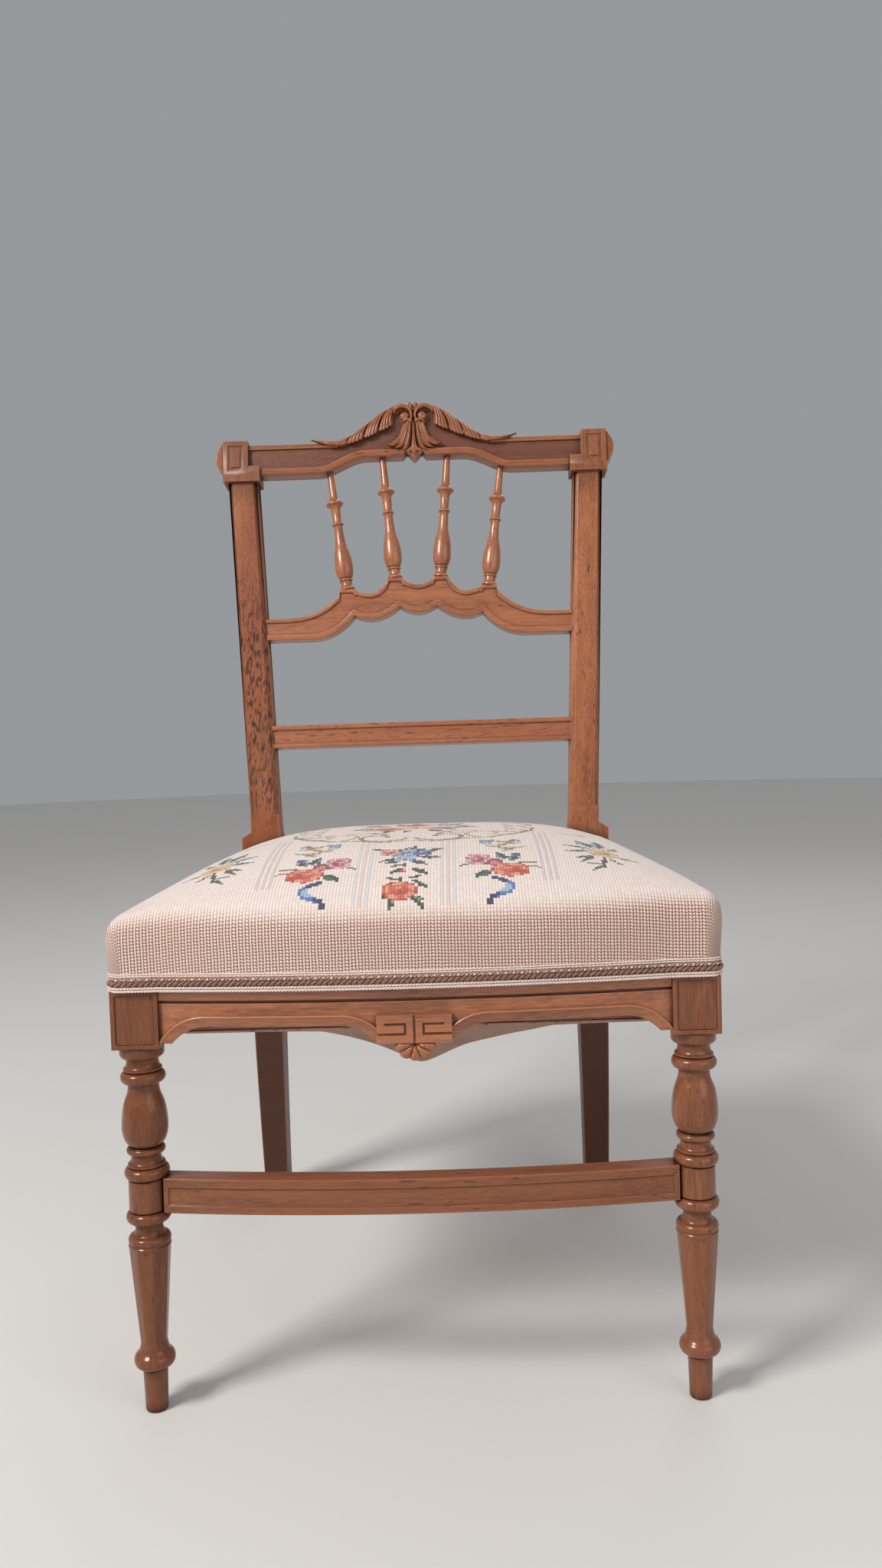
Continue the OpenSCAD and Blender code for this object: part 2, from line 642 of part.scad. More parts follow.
// Leaf swags that sweep out from two scrolls, and the leaf drop between them
leaf_tip = [crest_arch_x + 20, crest_s + crest_h + 2];
function leaf_top(t) = let (x = lerp(14, leaf_tip[0], t)) [x,
    crest_s + crest_h - 2 + (crest_arch + 1) * bump((crest_arch_x - x) / (crest_arch_x - 10)) + 3 * t];
leaf_lobes = 7;
function leaf_low(t) = let (top = leaf_top(t), lobe = 1.6 * abs(sin(180 * leaf_lobes * t)))
    [top[0], top[1] - (17 * pow(1 - t, 0.7) * (1 - 0.25 * (1 - t)) + lobe * (1 - t) + 0.2)];
module crest_carving() {
    union() {
        for (s = [-1, 1]) side(s) {
            slab_y(-3.5, 5.5) polygon(concat(
                [for (i = [0 : 20]) leaf_low(i / 20)],
                [for (i = [19 : -1 : 0]) leaf_top(i / 20)]));
            translate([11, 2, crest_s + crest_h + crest_arch - 11]) rotate([90, 0, 0])
                cylinder(h = 7.6, r = 7);
        }
        slab_y(-4, 6) polygon(concat(
            power_curve(0, crest_s + crest_lift - 5, 12, crest_s + crest_lift + 6, 0.8, 3),
            [[17, crest_s + crest_lift + 10], [12, crest_s + crest_lift + 20],
             [15, crest_s + crest_lift + 32], [6, crest_s + crest_h + crest_arch - 12],
             [-6, crest_s + crest_h + crest_arch - 12], [-15, crest_s + crest_lift + 32],
             [-12, crest_s + crest_lift + 20], [-17, crest_s + crest_lift + 10],
             [-12, crest_s + crest_lift + 6]]));
        slab_y(-4, 14) polygon(concat(
            [[-9, crest_s + crest_h + crest_arch - 4], [9, crest_s + crest_h + crest_arch - 4]],
            arc(0, crest_s + crest_h + crest_arch + 0.1, 9, 5.5, 12, 168, 8)));
    }
}

module ear(s) {
    r = (ear_h * ear_h / 4 + ear_out * ear_out) / (2 * ear_out);
    side(s) on_back() translate([die_x + die_w, 0, die_s + die_h / 2]) {
        difference() {
            translate([ear_out - r, stile_t - 2, 0]) rotate([90, 0, 0])
                cylinder(h = stile_t - 1, r = r, $fn = 96);
            translate([-2 * r, -10, -r - 1]) cube([2 * r, stile_t + 20, 2 * r + 2]);
        }
        translate([-ear_pin_l, ear_pin_y, 0]) rotate([0, 90, 0])
            cylinder(h = ear_pin_l + 1, r = ear_pin_r);
    }
}

// Scalloped rail: rises from its ends to two outer and two inner pads
low_cusp_out = pad_out_x - pad_w / 2;
low_cusp_in = pad_in_x - 4.5;
function scallop_low(d, x1) = concat(
    [[x1, scallop_s + d], [pad_out_x + 42, scallop_s + d]],
    power_curve(pad_out_x + 42, scallop_s + d, low_cusp_out, scallop_s + 24.3 + d, 2.5, 8),
    reversed(power_curve(51, scallop_s + 19.8 + d, low_cusp_out, scallop_s + 24.3 + d, 2, 4)),
    power_curve(51, scallop_s + 19.8 + d, low_cusp_in, scallop_s + 33 + d, 2, 6),
    reversed(power_curve(0, scallop_s + 26 + d, low_cusp_in, scallop_s + 33 + d, 2, 4))
);
function scallop_high(d, x1) = concat(
    [[x1, scallop_s + scallop_h + d], [pad_out_x + 74, scallop_s + scallop_h + d]],
    power_curve(pad_out_x + 74, scallop_s + scallop_h + d,
                pad_out_x + pad_w / 2 + 0.5 + d / 3, scallop_s + pad_out_h - 6 + d, 3, 9),
    [[pad_out_x + pad_w / 2 + d / 3, scallop_s + pad_out_h + d],
     [pad_out_x - pad_w / 2 - d / 3, scallop_s + pad_out_h + d]],
    reversed(power_curve(51, scallop_s + 47.5 + d, pad_out_x - pad_w / 2 - 0.5 - d / 3,
                         scallop_s + pad_out_h - 1 + d, 2, 4)),
    power_curve(51, scallop_s + 47.5 + d, pad_in_x + pad_w / 2 + 0.5 + d / 3,
                scallop_s + pad_in_h - 3 + d, 2, 6),
    [[pad_in_x + pad_w / 2 + d / 3, scallop_s + pad_in_h + d],
     [pad_in_x - pad_w / 2 - d / 3, scallop_s + pad_in_h + d]],
    reversed(power_curve(0, scallop_s + pad_in_h - 8.7 + d, pad_in_x - pad_w / 2 - 0.5 - d / 3,
                         scallop_s + pad_in_h - 2 + d, 2, 5))
);
module scalloped_rail() color(wood) {
    on_back() difference() {
        union() {
            slab_y(thin_y, thin_t) polygon(concat(
                scallop_low(0, stile_in(scallop_s)),
                flipped(scallop_low(0, stile_in(scallop_s))),
                reversed(flipped(scallop_high(0, stile_in(scallop_s + scallop_h)))),
                reversed(scallop_high(0, stile_in(scallop_s + scallop_h)))));
            for (s = [-1, 1]) side(s) back_tenon(scallop_s, scallop_h, 0, 0);
        }
        slab_y(thin_y - 1, 2.2) polygon(concat(
            scallop_low(6, stile_in(scallop_s) - 1),
            flipped(scallop_low(6, stile_in(scallop_s) - 1)),
            reversed(flipped(scallop_high(-5, stile_in(scallop_s) - 1))),
            reversed(scallop_high(-5, stile_in(scallop_s) - 1))));
        for (i = [0 : 3]) spindle_place(i) translate([0, 0, -spindle_peg_l - 0.5])
            cylinder(h = spindle_peg_l + 20, r = spindle_peg_r + fit);
    }
}
module lower_back_rail() color(wood) {
    on_back() difference() {
        union() {
            slab_y(thin_y, thin_t) polygon([
                [-stile_in(low_s), low_s], [stile_in(low_s), low_s],
                [stile_in(low_s + low_h), low_s + low_h], [-stile_in(low_s + low_h), low_s + low_h]]);
            for (s = [-1, 1]) side(s) back_tenon(low_s, low_h, 0, 0);
        }
        translate([-stile_in(low_s) + 2, thin_y - 1, low_s + 5.5])
            cube([2 * stile_in(low_s) - 4, 2.2, low_h - 10.5]);
    }
}

// Spindles, fanned out from their pads to the underside of the crest rail
spindle_foot = [[-pad_out_x, pad_out_h], [-pad_in_x, pad_in_h],
                [pad_in_x, pad_in_h], [pad_out_x, pad_out_h]];
spindle_head = [-top_out_x, -top_in_x, top_in_x, top_out_x];
spindle_y = crest_t / 2;
disc_r = pad_w / 2 + 0.45;
function foot_at(i) = [spindle_foot[i][0], scallop_s + spindle_foot[i][1]];
function head_at(i) = [spindle_head[i], low_at(abs(spindle_head[i]) + 3)];
function spindle_l(i) = norm(head_at(i) - foot_at(i));
module spindle_place(i) {
    run = head_at(i) - foot_at(i);
    translate([foot_at(i)[0], spindle_y, foot_at(i)[1]])
        rotate([0, atan2(run[0], run[1]), 0]) children();
}
function spindle_turning(l) = concat(
    [[0, -spindle_peg_l], [spindle_peg_r, -spindle_peg_l], [spindle_peg_r, 0], [disc_r, 0],
     [disc_r, 1.6], [6, 3.2], [5, 6.2]],
    bead(4.6, 2.6, 7, 10.5),
    [[5.6, 11]],
    bezier([5.6, 11], [vase_r + 0.2, 16], [vase_r, 26], 5),
    bezier([vase_r, 26], [vase_r - 0.6, 38], [neck_r + 0.8, l - 54.5], 7),
    bead(neck_r + 0.6, 2.5, l - 53, l - 50),
    [[neck_r + 0.9, l - 49], [neck_r + 1.2, l - 35.5]],
    bead(neck_r + 1.6, neck_ring_r - neck_r - 1.6, l - 34, l - 29.5),
    [[neck_r + 1.4, l - 28.5], [neck_r, l - 20], [neck_r, l - ease], [spindle_peg_r, l - ease],
     [spindle_peg_r, l + spindle_peg_l], [0, l + spindle_peg_l]]
);
module spindle(i) {
    on_back() spindle_place(i) rotate_extrude($fn = 40) polygon(spindle_turning(spindle_l(i)));
}

// Corner blocks glued and screwed inside the seat frame
corner_z = rail_z + 8;
corner_h = rail_h - 16;
screw_z = corner_z + corner_h / 2;
module corner_block_front(s) {
    y_leg = block_half + fit;
    x_leg = leg_x - block_half - fit;
    side(s) difference() {
        translate([0, 0, corner_z]) linear_extrude(corner_h) polygon([
            [x_leg - corner_l, rail_in_y + fit], [x_leg, rail_in_y + fit], [x_leg, y_leg],
            [side_in(y_leg) - fit, y_leg], [side_in(y_leg + corner_l) - fit, y_leg + corner_l],
            [side_in(y_leg + corner_l) - fit - 8, y_leg + corner_l],
            [x_leg - corner_l, rail_in_y + fit + 8]]);
        screw_hole(1);
    }
}
module corner_block_rear(s) {
    y_leg = seat_d - fit;
    x_leg = rear_in - fit;
    side(s) difference() {
        translate([0, 0, corner_z]) linear_extrude(corner_h) polygon([
            [x_leg - corner_l, rear_in_y - fit], [x_leg - corner_l, rear_in_y - fit - 8],
            [side_in(y_leg - corner_l) - fit - 8, y_leg - corner_l],
            [side_in(y_leg - corner_l) - fit, y_leg - corner_l], [side_in(y_leg) - fit, y_leg],
            [x_leg, y_leg], [x_leg, rear_in_y - fit]]);
        screw_hole(-1);
    }
}
screw_l = 32;
head_r = 4.5;
head_t = 2;
// Where the front and the rear screws enter, on the slanting faces of the blocks
screw_front = [(leg_x - block_half + side_in(block_half + corner_l)) / 2 - corner_l / 2 - 4,
               (rail_in_y + block_half + corner_l) / 2 + 4];
screw_rear = [(rear_in + side_in(seat_d - corner_l)) / 2 - corner_l / 2 - 4,
              (rear_in_y + seat_d - corner_l) / 2 - 4];
module at_screw(end) {
    place = end > 0 ? screw_front : screw_rear;
    translate([place[0], place[1], screw_z]) rotate([0, 90, end > 0 ? -45 : 45]) children();
}
module screw_hole(end) {
    at_screw(end) {
        cylinder(h = screw_l + 0.5, r = screw_r + fit);
        translate([0, 0, -30]) cylinder(h = 30 + 2 * head_t + fit, r = head_r + fit);
    }
}
module corner_block_screws() color("dimgray") {
    for (s = [-1, 1], end = [-1, 1]) side(s) at_screw(end) difference() {
        union() {
            cylinder(h = screw_l, r = screw_r);
            translate([0, 0, head_t]) cylinder(h = head_t, r = head_r);
        }
        translate([-0.5, -head_r - 1, head_t / 2]) cube([1, 2 * head_r + 2, head_t]);
    }
}

// Webbing under the rails: strips woven over and under each other, slack in the middle
web_t = 1.2;
web_lift = 0.9;
mid_d = (rail_in_y + rear_in_y) / 2;
half_d = (rear_in_y - rail_in_y) / 2;
function slack(x, y) =
    let (r2 = (x / side_in(mid_d)) ^ 2 + ((y - mid_d) / half_d) ^ 2) pow(max(0, 1 - r2), 4);
web_level = rail_z - 0.2 - web_t / 2 - web_lift;
web_pitch = (2 * rear_in - 26) / 4;
web_long_x = [for (i = [-1.5 : 1 : 1.5]) i * web_pitch];
web_cross_y = [for (i = [-1.5 : 1 : 1.5]) mid_d + i * half_d * 0.46];
web_lap = 13.5;
tack_in = 9;
tack_r = 0.8;
tack_dx = [-web_w / 3, 0, web_w / 3];
// Stations along a strip: its ends on the rails, and both edges of each strip that it crosses
function stations(a, b, marks) =
    concat([a], [for (m = marks, e = [-1, 1]) m + e * (web_w / 2 + 2)], [b]);
// Height of the weave: the strip with this sign passes over where the sum of counts is even
function weave(sign, i, j) = sign * ((i + j) % 2 == 0 ? web_lift : -web_lift);
module strip(rows, cross) {
    // Each row holds the upper left, upper right, lower right and lower left corner of one station,
    // and a strip that runs across takes the other diagonal, to lie like those that it crosses
    n = len(rows);
    points = [for (r = rows) each r];
    faces = concat(
        [[0, 1, 2], [0, 2, 3]],
        [for (i = [0 : n - 2], k = [0 : 3]) let (a = 4 * i + k, b = 4 * i + (k + 1) % 4)
            each (k == 2) != cross ? [[a, a + 4, b], [b, a + 4, b + 4]]
                : [[a, a + 4, b + 4], [a, b + 4, b]]],
        [[4 * n - 4, 4 * n - 2, 4 * n - 3], [4 * n - 4, 4 * n - 1, 4 * n - 2]]);
    polyhedron(points, faces, convexity = 4);
}
module webbing_lengthwise() color("tan") {
    for (k = [0 : 3]) {
        x = web_long_x[k];
        ys = stations(rail_in_y - web_lap, rear_in_y + web_lap, web_cross_y);
        strip([for (i = [0 : len(ys) - 1]) let (
            y = ys[i], end = i == 0 || i == len(ys) - 1,
            lift = end ? web_lift : weave(1, k, floor((i - 1) / 2)))
            [for (c = [[-1, 1], [1, 1], [1, -1], [-1, -1]]) let (px = x + c[0] * web_w / 2)
                [px, y, web_level + lift - sag * slack(px, y) + c[1] * web_t / 2]]], false);
    }
}
module webbing_crosswise() color("tan") {
    for (k = [0 : 3]) {
        y = web_cross_y[k];
        end_x = side_in(y) + web_lap - 2;
        xs = stations(-end_x, end_x, web_long_x);
        strip([for (i = [0 : len(xs) - 1]) let (
            x = xs[i], end = i == 0 || i == len(xs) - 1,
            lift = end ? web_lift : weave(-1, k, floor((i - 1) / 2)))
            [for (c = [[1, 1], [-1, 1], [-1, -1], [1, -1]]) let (py = y + c[0] * web_w / 2)
                [x, py, web_level + lift - sag * slack(x, py) + c[1] * web_t / 2]]], true);
    }
}
module tack(x, y) {
    translate([x, y, rail_z - 0.3 - web_t - 0.8]) {
        cylinder(h = 0.8, r = 2.6, $fn = 16);
        translate([0, 0, 0.5]) cylinder(h = 9, r = tack_r, $fn = 16);
    }
}
module webbing_tacks() color("dimgray") {
    for (x = web_long_x, dx = tack_dx) {
        tack(x + dx, rail_in_y - tack_in);
        tack(x + dx, rear_in_y + tack_in);
    }
    for (y = web_cross_y, dy = tack_dx, s = [-1, 1])
        side(s) tack(side_in(y + dy) + tack_in, y + dy);
}

// Plan outline of the seat, as far as o outside the faces of the rails and blocks,
// and as far as n clear of the gap that it leaves round the rear legs
corner_round = 9;
post_gap = 0.6;
notch_x = rear_in - post_gap;
notch_y = seat_d - post_gap;
function seat_outline(o, n = 0) = let (
    half = seat_w / 2, r = corner_round, cx = half - r, cy = -block_half + r,
    right = concat(
        arc(cx, cy, r + o, r + o, -90, 0, 3),
        [for (i = [1 : 7]) let (t = i / 7)
            [lerp(half, rear_out, t) + o, lerp(cy, notch_y - n, t)]],
        [[rear_out + ease - 0.05 - n / 30, notch_y - n], [notch_x - n, notch_y - n],
         [notch_x - n, rear_face_y + ease - 0.05 - n / 30], [notch_x - n, rear_face_y + o]]))
    concat(
        [for (i = [1 : 11]) let (x = lerp(-cx, cx, i / 12))
            [x, -block_half - max(0, bow_y(x)) - o]],
        right,
        [for (x = [rear_in * 0.6, 0, -rear_in * 0.6]) [x, rear_face_y + o]],
        flipped(right));
centre_y = 188;
front_reach = centre_y + block_half + rail_bow;
rear_reach = rear_face_y - centre_y;
function width_at(y) = lerp(seat_w / 2, rear_out, max(0, min(1, y / seat_d)));
// Height of the top of the seat over the plan
function seat_top(x, y) = let (
    X = min(1, abs(x) / width_at(y)),
    Y = min(1, y < centre_y ? (centre_y - y) / front_reach : (y - centre_y) / rear_reach),
    edge = edge_h + (y < centre_y ? 1.5 : 1.5 + 5 * Y),
    along = y < centre_y ? 1 - pow(Y, 3) : 1 - 0.6 * Y * Y)
    rail_top + edge + (crown - edge) * (1 - pow(X, 3.6)) * along;
// Side of the seat from the hem up: height against the rail top, and share of the swell
side_levels = [[0.12, 0.35], [0.5, 1], [0.75, 0.85], [0.93, 0.35]];
top_rings = [0.985, 0.955, 0.9, 0.8, 0.66, 0.48, 0.26];
function shrunk(ring, k) = [for (p = ring) [p[0] * k, centre_y + (p[1] - centre_y) * k]];
function upper_rings(o, n) = concat(
    [for (l = side_levels) [for (p = seat_outline(o + swell * l[1], n))
        [p[0], p[1], rail_top + edge_h * l[0] + (p[1] > seat_d - 8 ? 6 * l[0] : 0)]]],
    [for (k = top_rings) [for (p = shrunk(seat_outline(o, n), k))
        [p[0], p[1], seat_top(p[0], p[1]) + o - (k > 0.97 ? 2.5 : k > 0.94 ? 0.6 : 0)]]]);
// The hem lies at z, but over the rails where it meets a rear leg
function hem_ring(o, n, z) = [for (p = seat_outline(o, n))
    [p[0], p[1], p[1] > notch_y - n - 0.1 && abs(p[0]) > notch_x - n - 0.1
        && abs(p[0]) < rear_out + ease && p[1] < rear_face_y + ease ? rail_top + ease : z]];

// Triangles between ring i and the next one of a list of rings with equal counts.
// A sheet that is folded back takes the other diagonal, so that both its faces run alike.
function skin(i, n, back) = [for (k = [0 : n - 1]) let (a = i * n + k, b = i * n + (k + 1) % n)
    each back ? [[a, a + n, b], [b, a + n, b + n]] : [[a, b + n, b], [a, a + n, b + n]]];
function cap(i, n, tip) = [for (k = [0 : n - 1]) [i * n + k, tip, i * n + (k + 1) % n]];
function base(i, n, tip) = [for (k = [0 : n - 1]) [i * n + k, i * n + (k + 1) % n, tip]];
function ring_faces(m, n, fold) = concat([for (i = [0 : m - 2]) each skin(i, n, i >= fold)],
    base(0, n, m * n), cap(m - 1, n, m * n + 1));
module closed_rings(rings, low_tip, high_tip, fold) {
    polyhedron(concat([for (r = rings) each r], [low_tip, high_tip]),
               ring_faces(len(rings), len(rings[0]), fold), convexity = 6);
}

// Stuffing of hair under wadding, one firm pad
canvas_z = rail_top + 0.2;
function canvas_at(x, y) = let (
    X = x / side_in(mid_d), Y = (y - mid_d) / half_d)
    canvas_z + canvas_rise * pow(max(0, 1 - X * X), 2) * pow(max(0, 1 - Y * Y), 2);
module seat_stuffing() color("wheat") {
    o = -ease;
    n = cover_t + 2 * ease;
    lift = sheet_t + ease;
    low = [for (k = [0.2, 0.45, 0.68, 0.86, 1]) [for (p = shrunk(seat_outline(o - 1, n + 1), k))
        [p[0], p[1], canvas_at(p[0], p[1]) + lift]]];
    closed_rings(concat(low, upper_rings(o, n)),
        [0, centre_y, canvas_at(0, centre_y) + lift], [0, centre_y, seat_top(0, centre_y) + o],
        len(low) + len(side_levels) + len(top_rings));
}
// Cover: a skin over the stuffing that laps down over the rails
module seat_cover() color("mistyrose") {
    hem = rail_top - lap;
    fold = hem + gimp_h + 1;
    o = ease + cover_t;
    outer = concat([hem_ring(o, 0, hem), hem_ring(o, 0, fold)], upper_rings(o, 0));
    inner = concat([hem_ring(ease, cover_t, hem), hem_ring(ease, cover_t, fold)],
                   upper_rings(ease, cover_t));
    rings = concat(reversed(outer), inner);
    points = concat([for (r = rings) each r],
        [[0, centre_y, seat_top(0, centre_y) + o], [0, centre_y, seat_top(0, centre_y) + ease]]);
    faces = ring_faces(len(rings), len(outer[0]), len(outer));
    polyhedron(points, [for (f = faces) [f[0], f[2], f[1]]], convexity = 8);
}
// Braid round the hem of the cover, in front, at the sides and across the back
module gimp_braid() color("rosybrown") {
    o = 2 * ease + cover_t;
    outer = seat_outline(o + gimp_t);
    inner = seat_outline(o);
    translate([0, 0, rail_top - lap]) linear_extrude(gimp_h) difference() {
        polygon(outer);
        polygon(inner);
        translate([-seat_w, seat_d - post_gap - 1]) square([2 * seat_w, post_gap + 1.5]);
        for (s = [-1, 1]) side(s)
            translate([rear_in - post_gap - 0.6, seat_d - 2]) square([60, 60]);
    }
}
canvas_inset = 10;
module spring_canvas() color("peru") {
    rings_up = [for (k = [1, 0.84, 0.68, 0.5, 0.34, 0.17])
        shrunk(seat_outline(-canvas_inset, canvas_inset), k)];
    low = [for (r = rings_up) [for (p = r) [p[0], p[1], canvas_at(p[0], p[1])]]];
    tip = [0, centre_y, canvas_at(0, centre_y)];
    closed_sheet(concat(reversed(low), [for (r = low) lowered(r, -sheet_t)]), tip);
}
// A sheet folded from its middle out to the rim below, and back to the middle above
module closed_sheet(rings, tip) {
    closed_rings(rings, tip, tip + [0, 0, sheet_t], len(rings) / 2);
}
// The cloth under the webbing is cut round the legs, and its rim meets the rails
cloth_level = web_level - web_lift - web_t / 2 - 2 - sheet_t;
cloth_lap = 14.5;
leg_gap = 1.5;
function cloth_outline() = let (
    x0 = leg_x - block_half - leg_gap, y0 = block_half + leg_gap,
    x1 = rear_in - leg_gap, y1 = seat_d - leg_gap,
    right = concat([[x0, rail_in_y - cloth_lap], [x0, y0]],
        [for (i = [0 : 6]) let (y = lerp(y0, y1, i / 6)) [side_in(y) + cloth_lap, y]],
        [[x1, y1], [x1, rear_in_y + cloth_lap]]))
    concat([for (i = [1 : 9]) [lerp(-x0, x0, i / 10), rail_in_y - cloth_lap]], right,
           [for (i = [1 : 5]) [lerp(x1, -x1, i / 6), rear_in_y + cloth_lap]], flipped(right));
module bottom_cloth() color("saddlebrown") {
    rim = [for (p = cloth_outline()) [p[0], p[1], rail_z - 0.2 - sheet_t]];
    low = [for (k = [0.955, 0.84, 0.7, 0.55, 0.4, 0.26, 0.13]) [for (p = shrunk(rim, k))
        [p[0], p[1], cloth_level - sag * slack(p[0], p[1])]]];
    tip = [0, centre_y, cloth_level - sag * slack(0, centre_y)];
    top = concat([rim], low);
    closed_sheet(concat(reversed(top), [for (r = top) lowered(r, -sheet_t)]), tip);
}
function lowered(ring, d) = [for (p = ring) [p[0], p[1], p[2] - d]];

// Waisted coil springs that stand on the webbing and carry the canvas
spring_places = concat([[0, mid_d]],
    [for (sx = [-1, 1], sy = [-1, 1]) [sx * spring_dx, mid_d + sy * spring_dy]]);
rings_per_turn = 8;
// Clearance of the springs over the highest level of the weave
coil_ease = 0.6;
function coil_point(place, t) = let (
    a = 360 * turns * t,
    r = waist_r + (coil_r - waist_r) * pow(abs(2 * t - 1), 1.6),
    x = place[0] + r * cos(a), y = place[1] + r * sin(a),
    low = web_level + web_lift + web_t / 2 - sag * slack(x, y) + wire_d / 2 + coil_ease,
    high = canvas_at(x, y) - wire_d / 2 - ease)
    [x, y, lerp(low, high, t)];
function unit(v) = v / norm(v);
function coil_ring(place, t) = let (
    p = coil_point(place, t),
    d = unit(coil_point(place, t + 0.002) - coil_point(place, t - 0.002)),
    u = unit(cross(d, [0, 0, 1])), v = cross(d, u))
    [for (k = [0 : 5]) p + wire_d / 2 * (cos(60 * k) * u + sin(60 * k) * v)];
module spring(place) {
    count = turns * rings_per_turn;
    rings = [for (i = [0 : count]) coil_ring(place, i / count)];
    closed_rings(rings, coil_point(place, 0), coil_point(place, 1), len(rings));
}
function coil_gap(place) = min([for (i = [0 : (turns - 1) * rings_per_turn])
    let (n = turns * rings_per_turn)
    norm(coil_point(place, (i + rings_per_turn) / n) - coil_point(place, i / n))]) - wire_d;
echo(least_spring_gap = min([for (p = spring_places) coil_gap(p)]));
module seat_springs() color("slategray") {
    for (p = spring_places) spring(p);
}

module front_leg_left() color(wood) front_leg(-1);
module front_leg_right() color(wood) front_leg(1);
module rear_leg_left() color(wood) rear_leg(-1);
module rear_leg_right() color(wood) rear_leg(1);
module side_seat_rail_left() color(wood) side_seat_rail(-1);
module side_seat_rail_right() color(wood) side_seat_rail(1);
module ear_left() color(wood) ear(-1);
module ear_right() color(wood) ear(1);
module spindle_1() color(wood) spindle(0);
module spindle_2() color(wood) spindle(1);
module spindle_3() color(wood) spindle(2);
module spindle_4() color(wood) spindle(3);
module corner_block_front_left() color(dark_wood) corner_block_front(-1);
module corner_block_front_right() color(dark_wood) corner_block_front(1);
module corner_block_rear_left() color(dark_wood) corner_block_rear(-1);
module corner_block_rear_right() color(dark_wood) corner_block_rear(1);

module placed() {
    translate([0, -mid_y, 0]) children();
}
placed() front_leg_left();
placed() front_leg_right();
placed() rear_leg_left();
placed() rear_leg_right();
placed() front_seat_rail();
placed() side_seat_rail_left();
placed() side_seat_rail_right();
placed() rear_seat_rail();
placed() shell_pendant();
placed() front_stretcher();
placed() crest_rail();
placed() ear_left();
placed() ear_right();
placed() scalloped_rail();
placed() lower_back_rail();
placed() spindle_1();
placed() spindle_2();
placed() spindle_3();
placed() spindle_4();
placed() corner_block_front_left();
placed() corner_block_front_right();
placed() corner_block_rear_left();
placed() corner_block_rear_right();
placed() corner_block_screws();
placed() webbing_lengthwise();
placed() webbing_crosswise();
placed() webbing_tacks();
placed() bottom_cloth();
placed() seat_springs();
placed() spring_canvas();
placed() seat_stuffing();
placed() seat_cover();
placed() gimp_braid();
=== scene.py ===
"""Low side chair: varnished turned frame, carved crest and a stuffed seat in floral needlepoint."""
import math

import bmesh
import bpy
import numpy as np
from bpy.props import FloatProperty, FloatVectorProperty, IntProperty, PointerProperty
from bpy.types import Operator, Panel, PropertyGroup
from mathutils import Color, Matrix, Vector, noise
from mathutils.bvhtree import BVHTree


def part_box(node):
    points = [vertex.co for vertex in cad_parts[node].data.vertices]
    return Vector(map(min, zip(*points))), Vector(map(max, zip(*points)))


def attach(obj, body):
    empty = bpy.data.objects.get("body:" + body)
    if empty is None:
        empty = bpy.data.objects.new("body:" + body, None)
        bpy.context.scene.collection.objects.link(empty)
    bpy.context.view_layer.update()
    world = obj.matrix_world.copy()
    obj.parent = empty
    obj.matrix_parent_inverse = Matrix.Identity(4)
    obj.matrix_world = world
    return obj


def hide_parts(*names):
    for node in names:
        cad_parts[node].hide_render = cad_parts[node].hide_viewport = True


bl_info = {
    "name": "Low Side Chair",
    "version": (1, 0, 0),
    "blender": (4, 5, 0),
    "location": "View3D > Sidebar > Chair",
    "description": "Finishes a low side chair: wood, carving, needlepoint, braid and seat support",
    "category": "Add Mesh",
}

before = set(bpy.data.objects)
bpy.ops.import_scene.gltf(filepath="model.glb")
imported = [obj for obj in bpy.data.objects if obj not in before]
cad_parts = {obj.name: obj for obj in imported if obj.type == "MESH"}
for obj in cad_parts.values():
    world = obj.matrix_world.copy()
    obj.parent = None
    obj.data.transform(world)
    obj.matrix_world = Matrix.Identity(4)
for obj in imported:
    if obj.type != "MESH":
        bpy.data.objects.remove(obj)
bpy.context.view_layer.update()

# Sizes in millimetres; depths are measured from the line between the axes of the front legs
MM = 0.001
LEG_LOW, LEG_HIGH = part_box("front_leg_right")
AXIS_Y = (LEG_LOW.y + LEG_HIGH.y) / 2
LEG_X = (LEG_LOW.x + LEG_HIGH.x) / 2 / MM
BLOCK = (LEG_HIGH.x - LEG_LOW.x) / MM
HALF_BLOCK = BLOCK / 2
HALF_W = LEG_HIGH.x / MM
RAIL_TOP = LEG_HIGH.z / MM
SEAT_D = (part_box("rear_leg_right")[0].y - AXIS_Y) / MM
RAIL_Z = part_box("rear_seat_rail")[0].z / MM
REAR_OUT = 191           # half width over the rear legs
REAR_IN = 150            # half width between the rear legs
REAR_FACE = (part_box("rear_seat_rail")[1].y - AXIS_Y) / MM
RAIL_IN_Y = 6            # inner face of the front rail
REAR_RAIL_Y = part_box("rear_seat_rail")[0].y / MM - AXIS_Y / MM
RAIL_T = 22              # thickness of the seat rails
RAIL_BOW = 12.5          # how far the front rail bows forward
BOW_HALF = LEG_X - HALF_BLOCK
LEG_H = 275              # height of the turned part of a front leg
LAP = 21                 # how far the cover laps over the rails
HEM_Z = RAIL_TOP - LAP
CROWN = 74               # rise of the seat over the rails, in its middle
EDGE_H = 33              # rise of the seat over the rails, at its edges
SWELL = 3.5              # how far the sides of the cushion swell
SETTLED = 3.2            # how far the stuffing has settled on the left
CENTRE_Y = 188           # middle of the seat
RAKE = math.radians(8.8)
SHOULDER_Z = RAIL_TOP + 60


def spot(x, y, z):
    """A point in millimetres as a place in the frame, in metres."""
    return Vector((x * MM, AXIS_Y + y * MM, z * MM))


BACK = Matrix.Translation(spot(0, SEAT_D, SHOULDER_Z)) @ Matrix.Rotation(-RAKE, 4, "X")


def back(x, y, s):
    """A point on the raked back: across, behind its front face, and up from the shoulder."""
    return BACK @ Vector((x * MM, y * MM, s * MM))


def lerp(a, b, t):
    """The value at share t of the way from a to b."""
    return a + (b - a) * t


def clamp(value, low=0.0, high=1.0):
    return max(low, min(high, value))


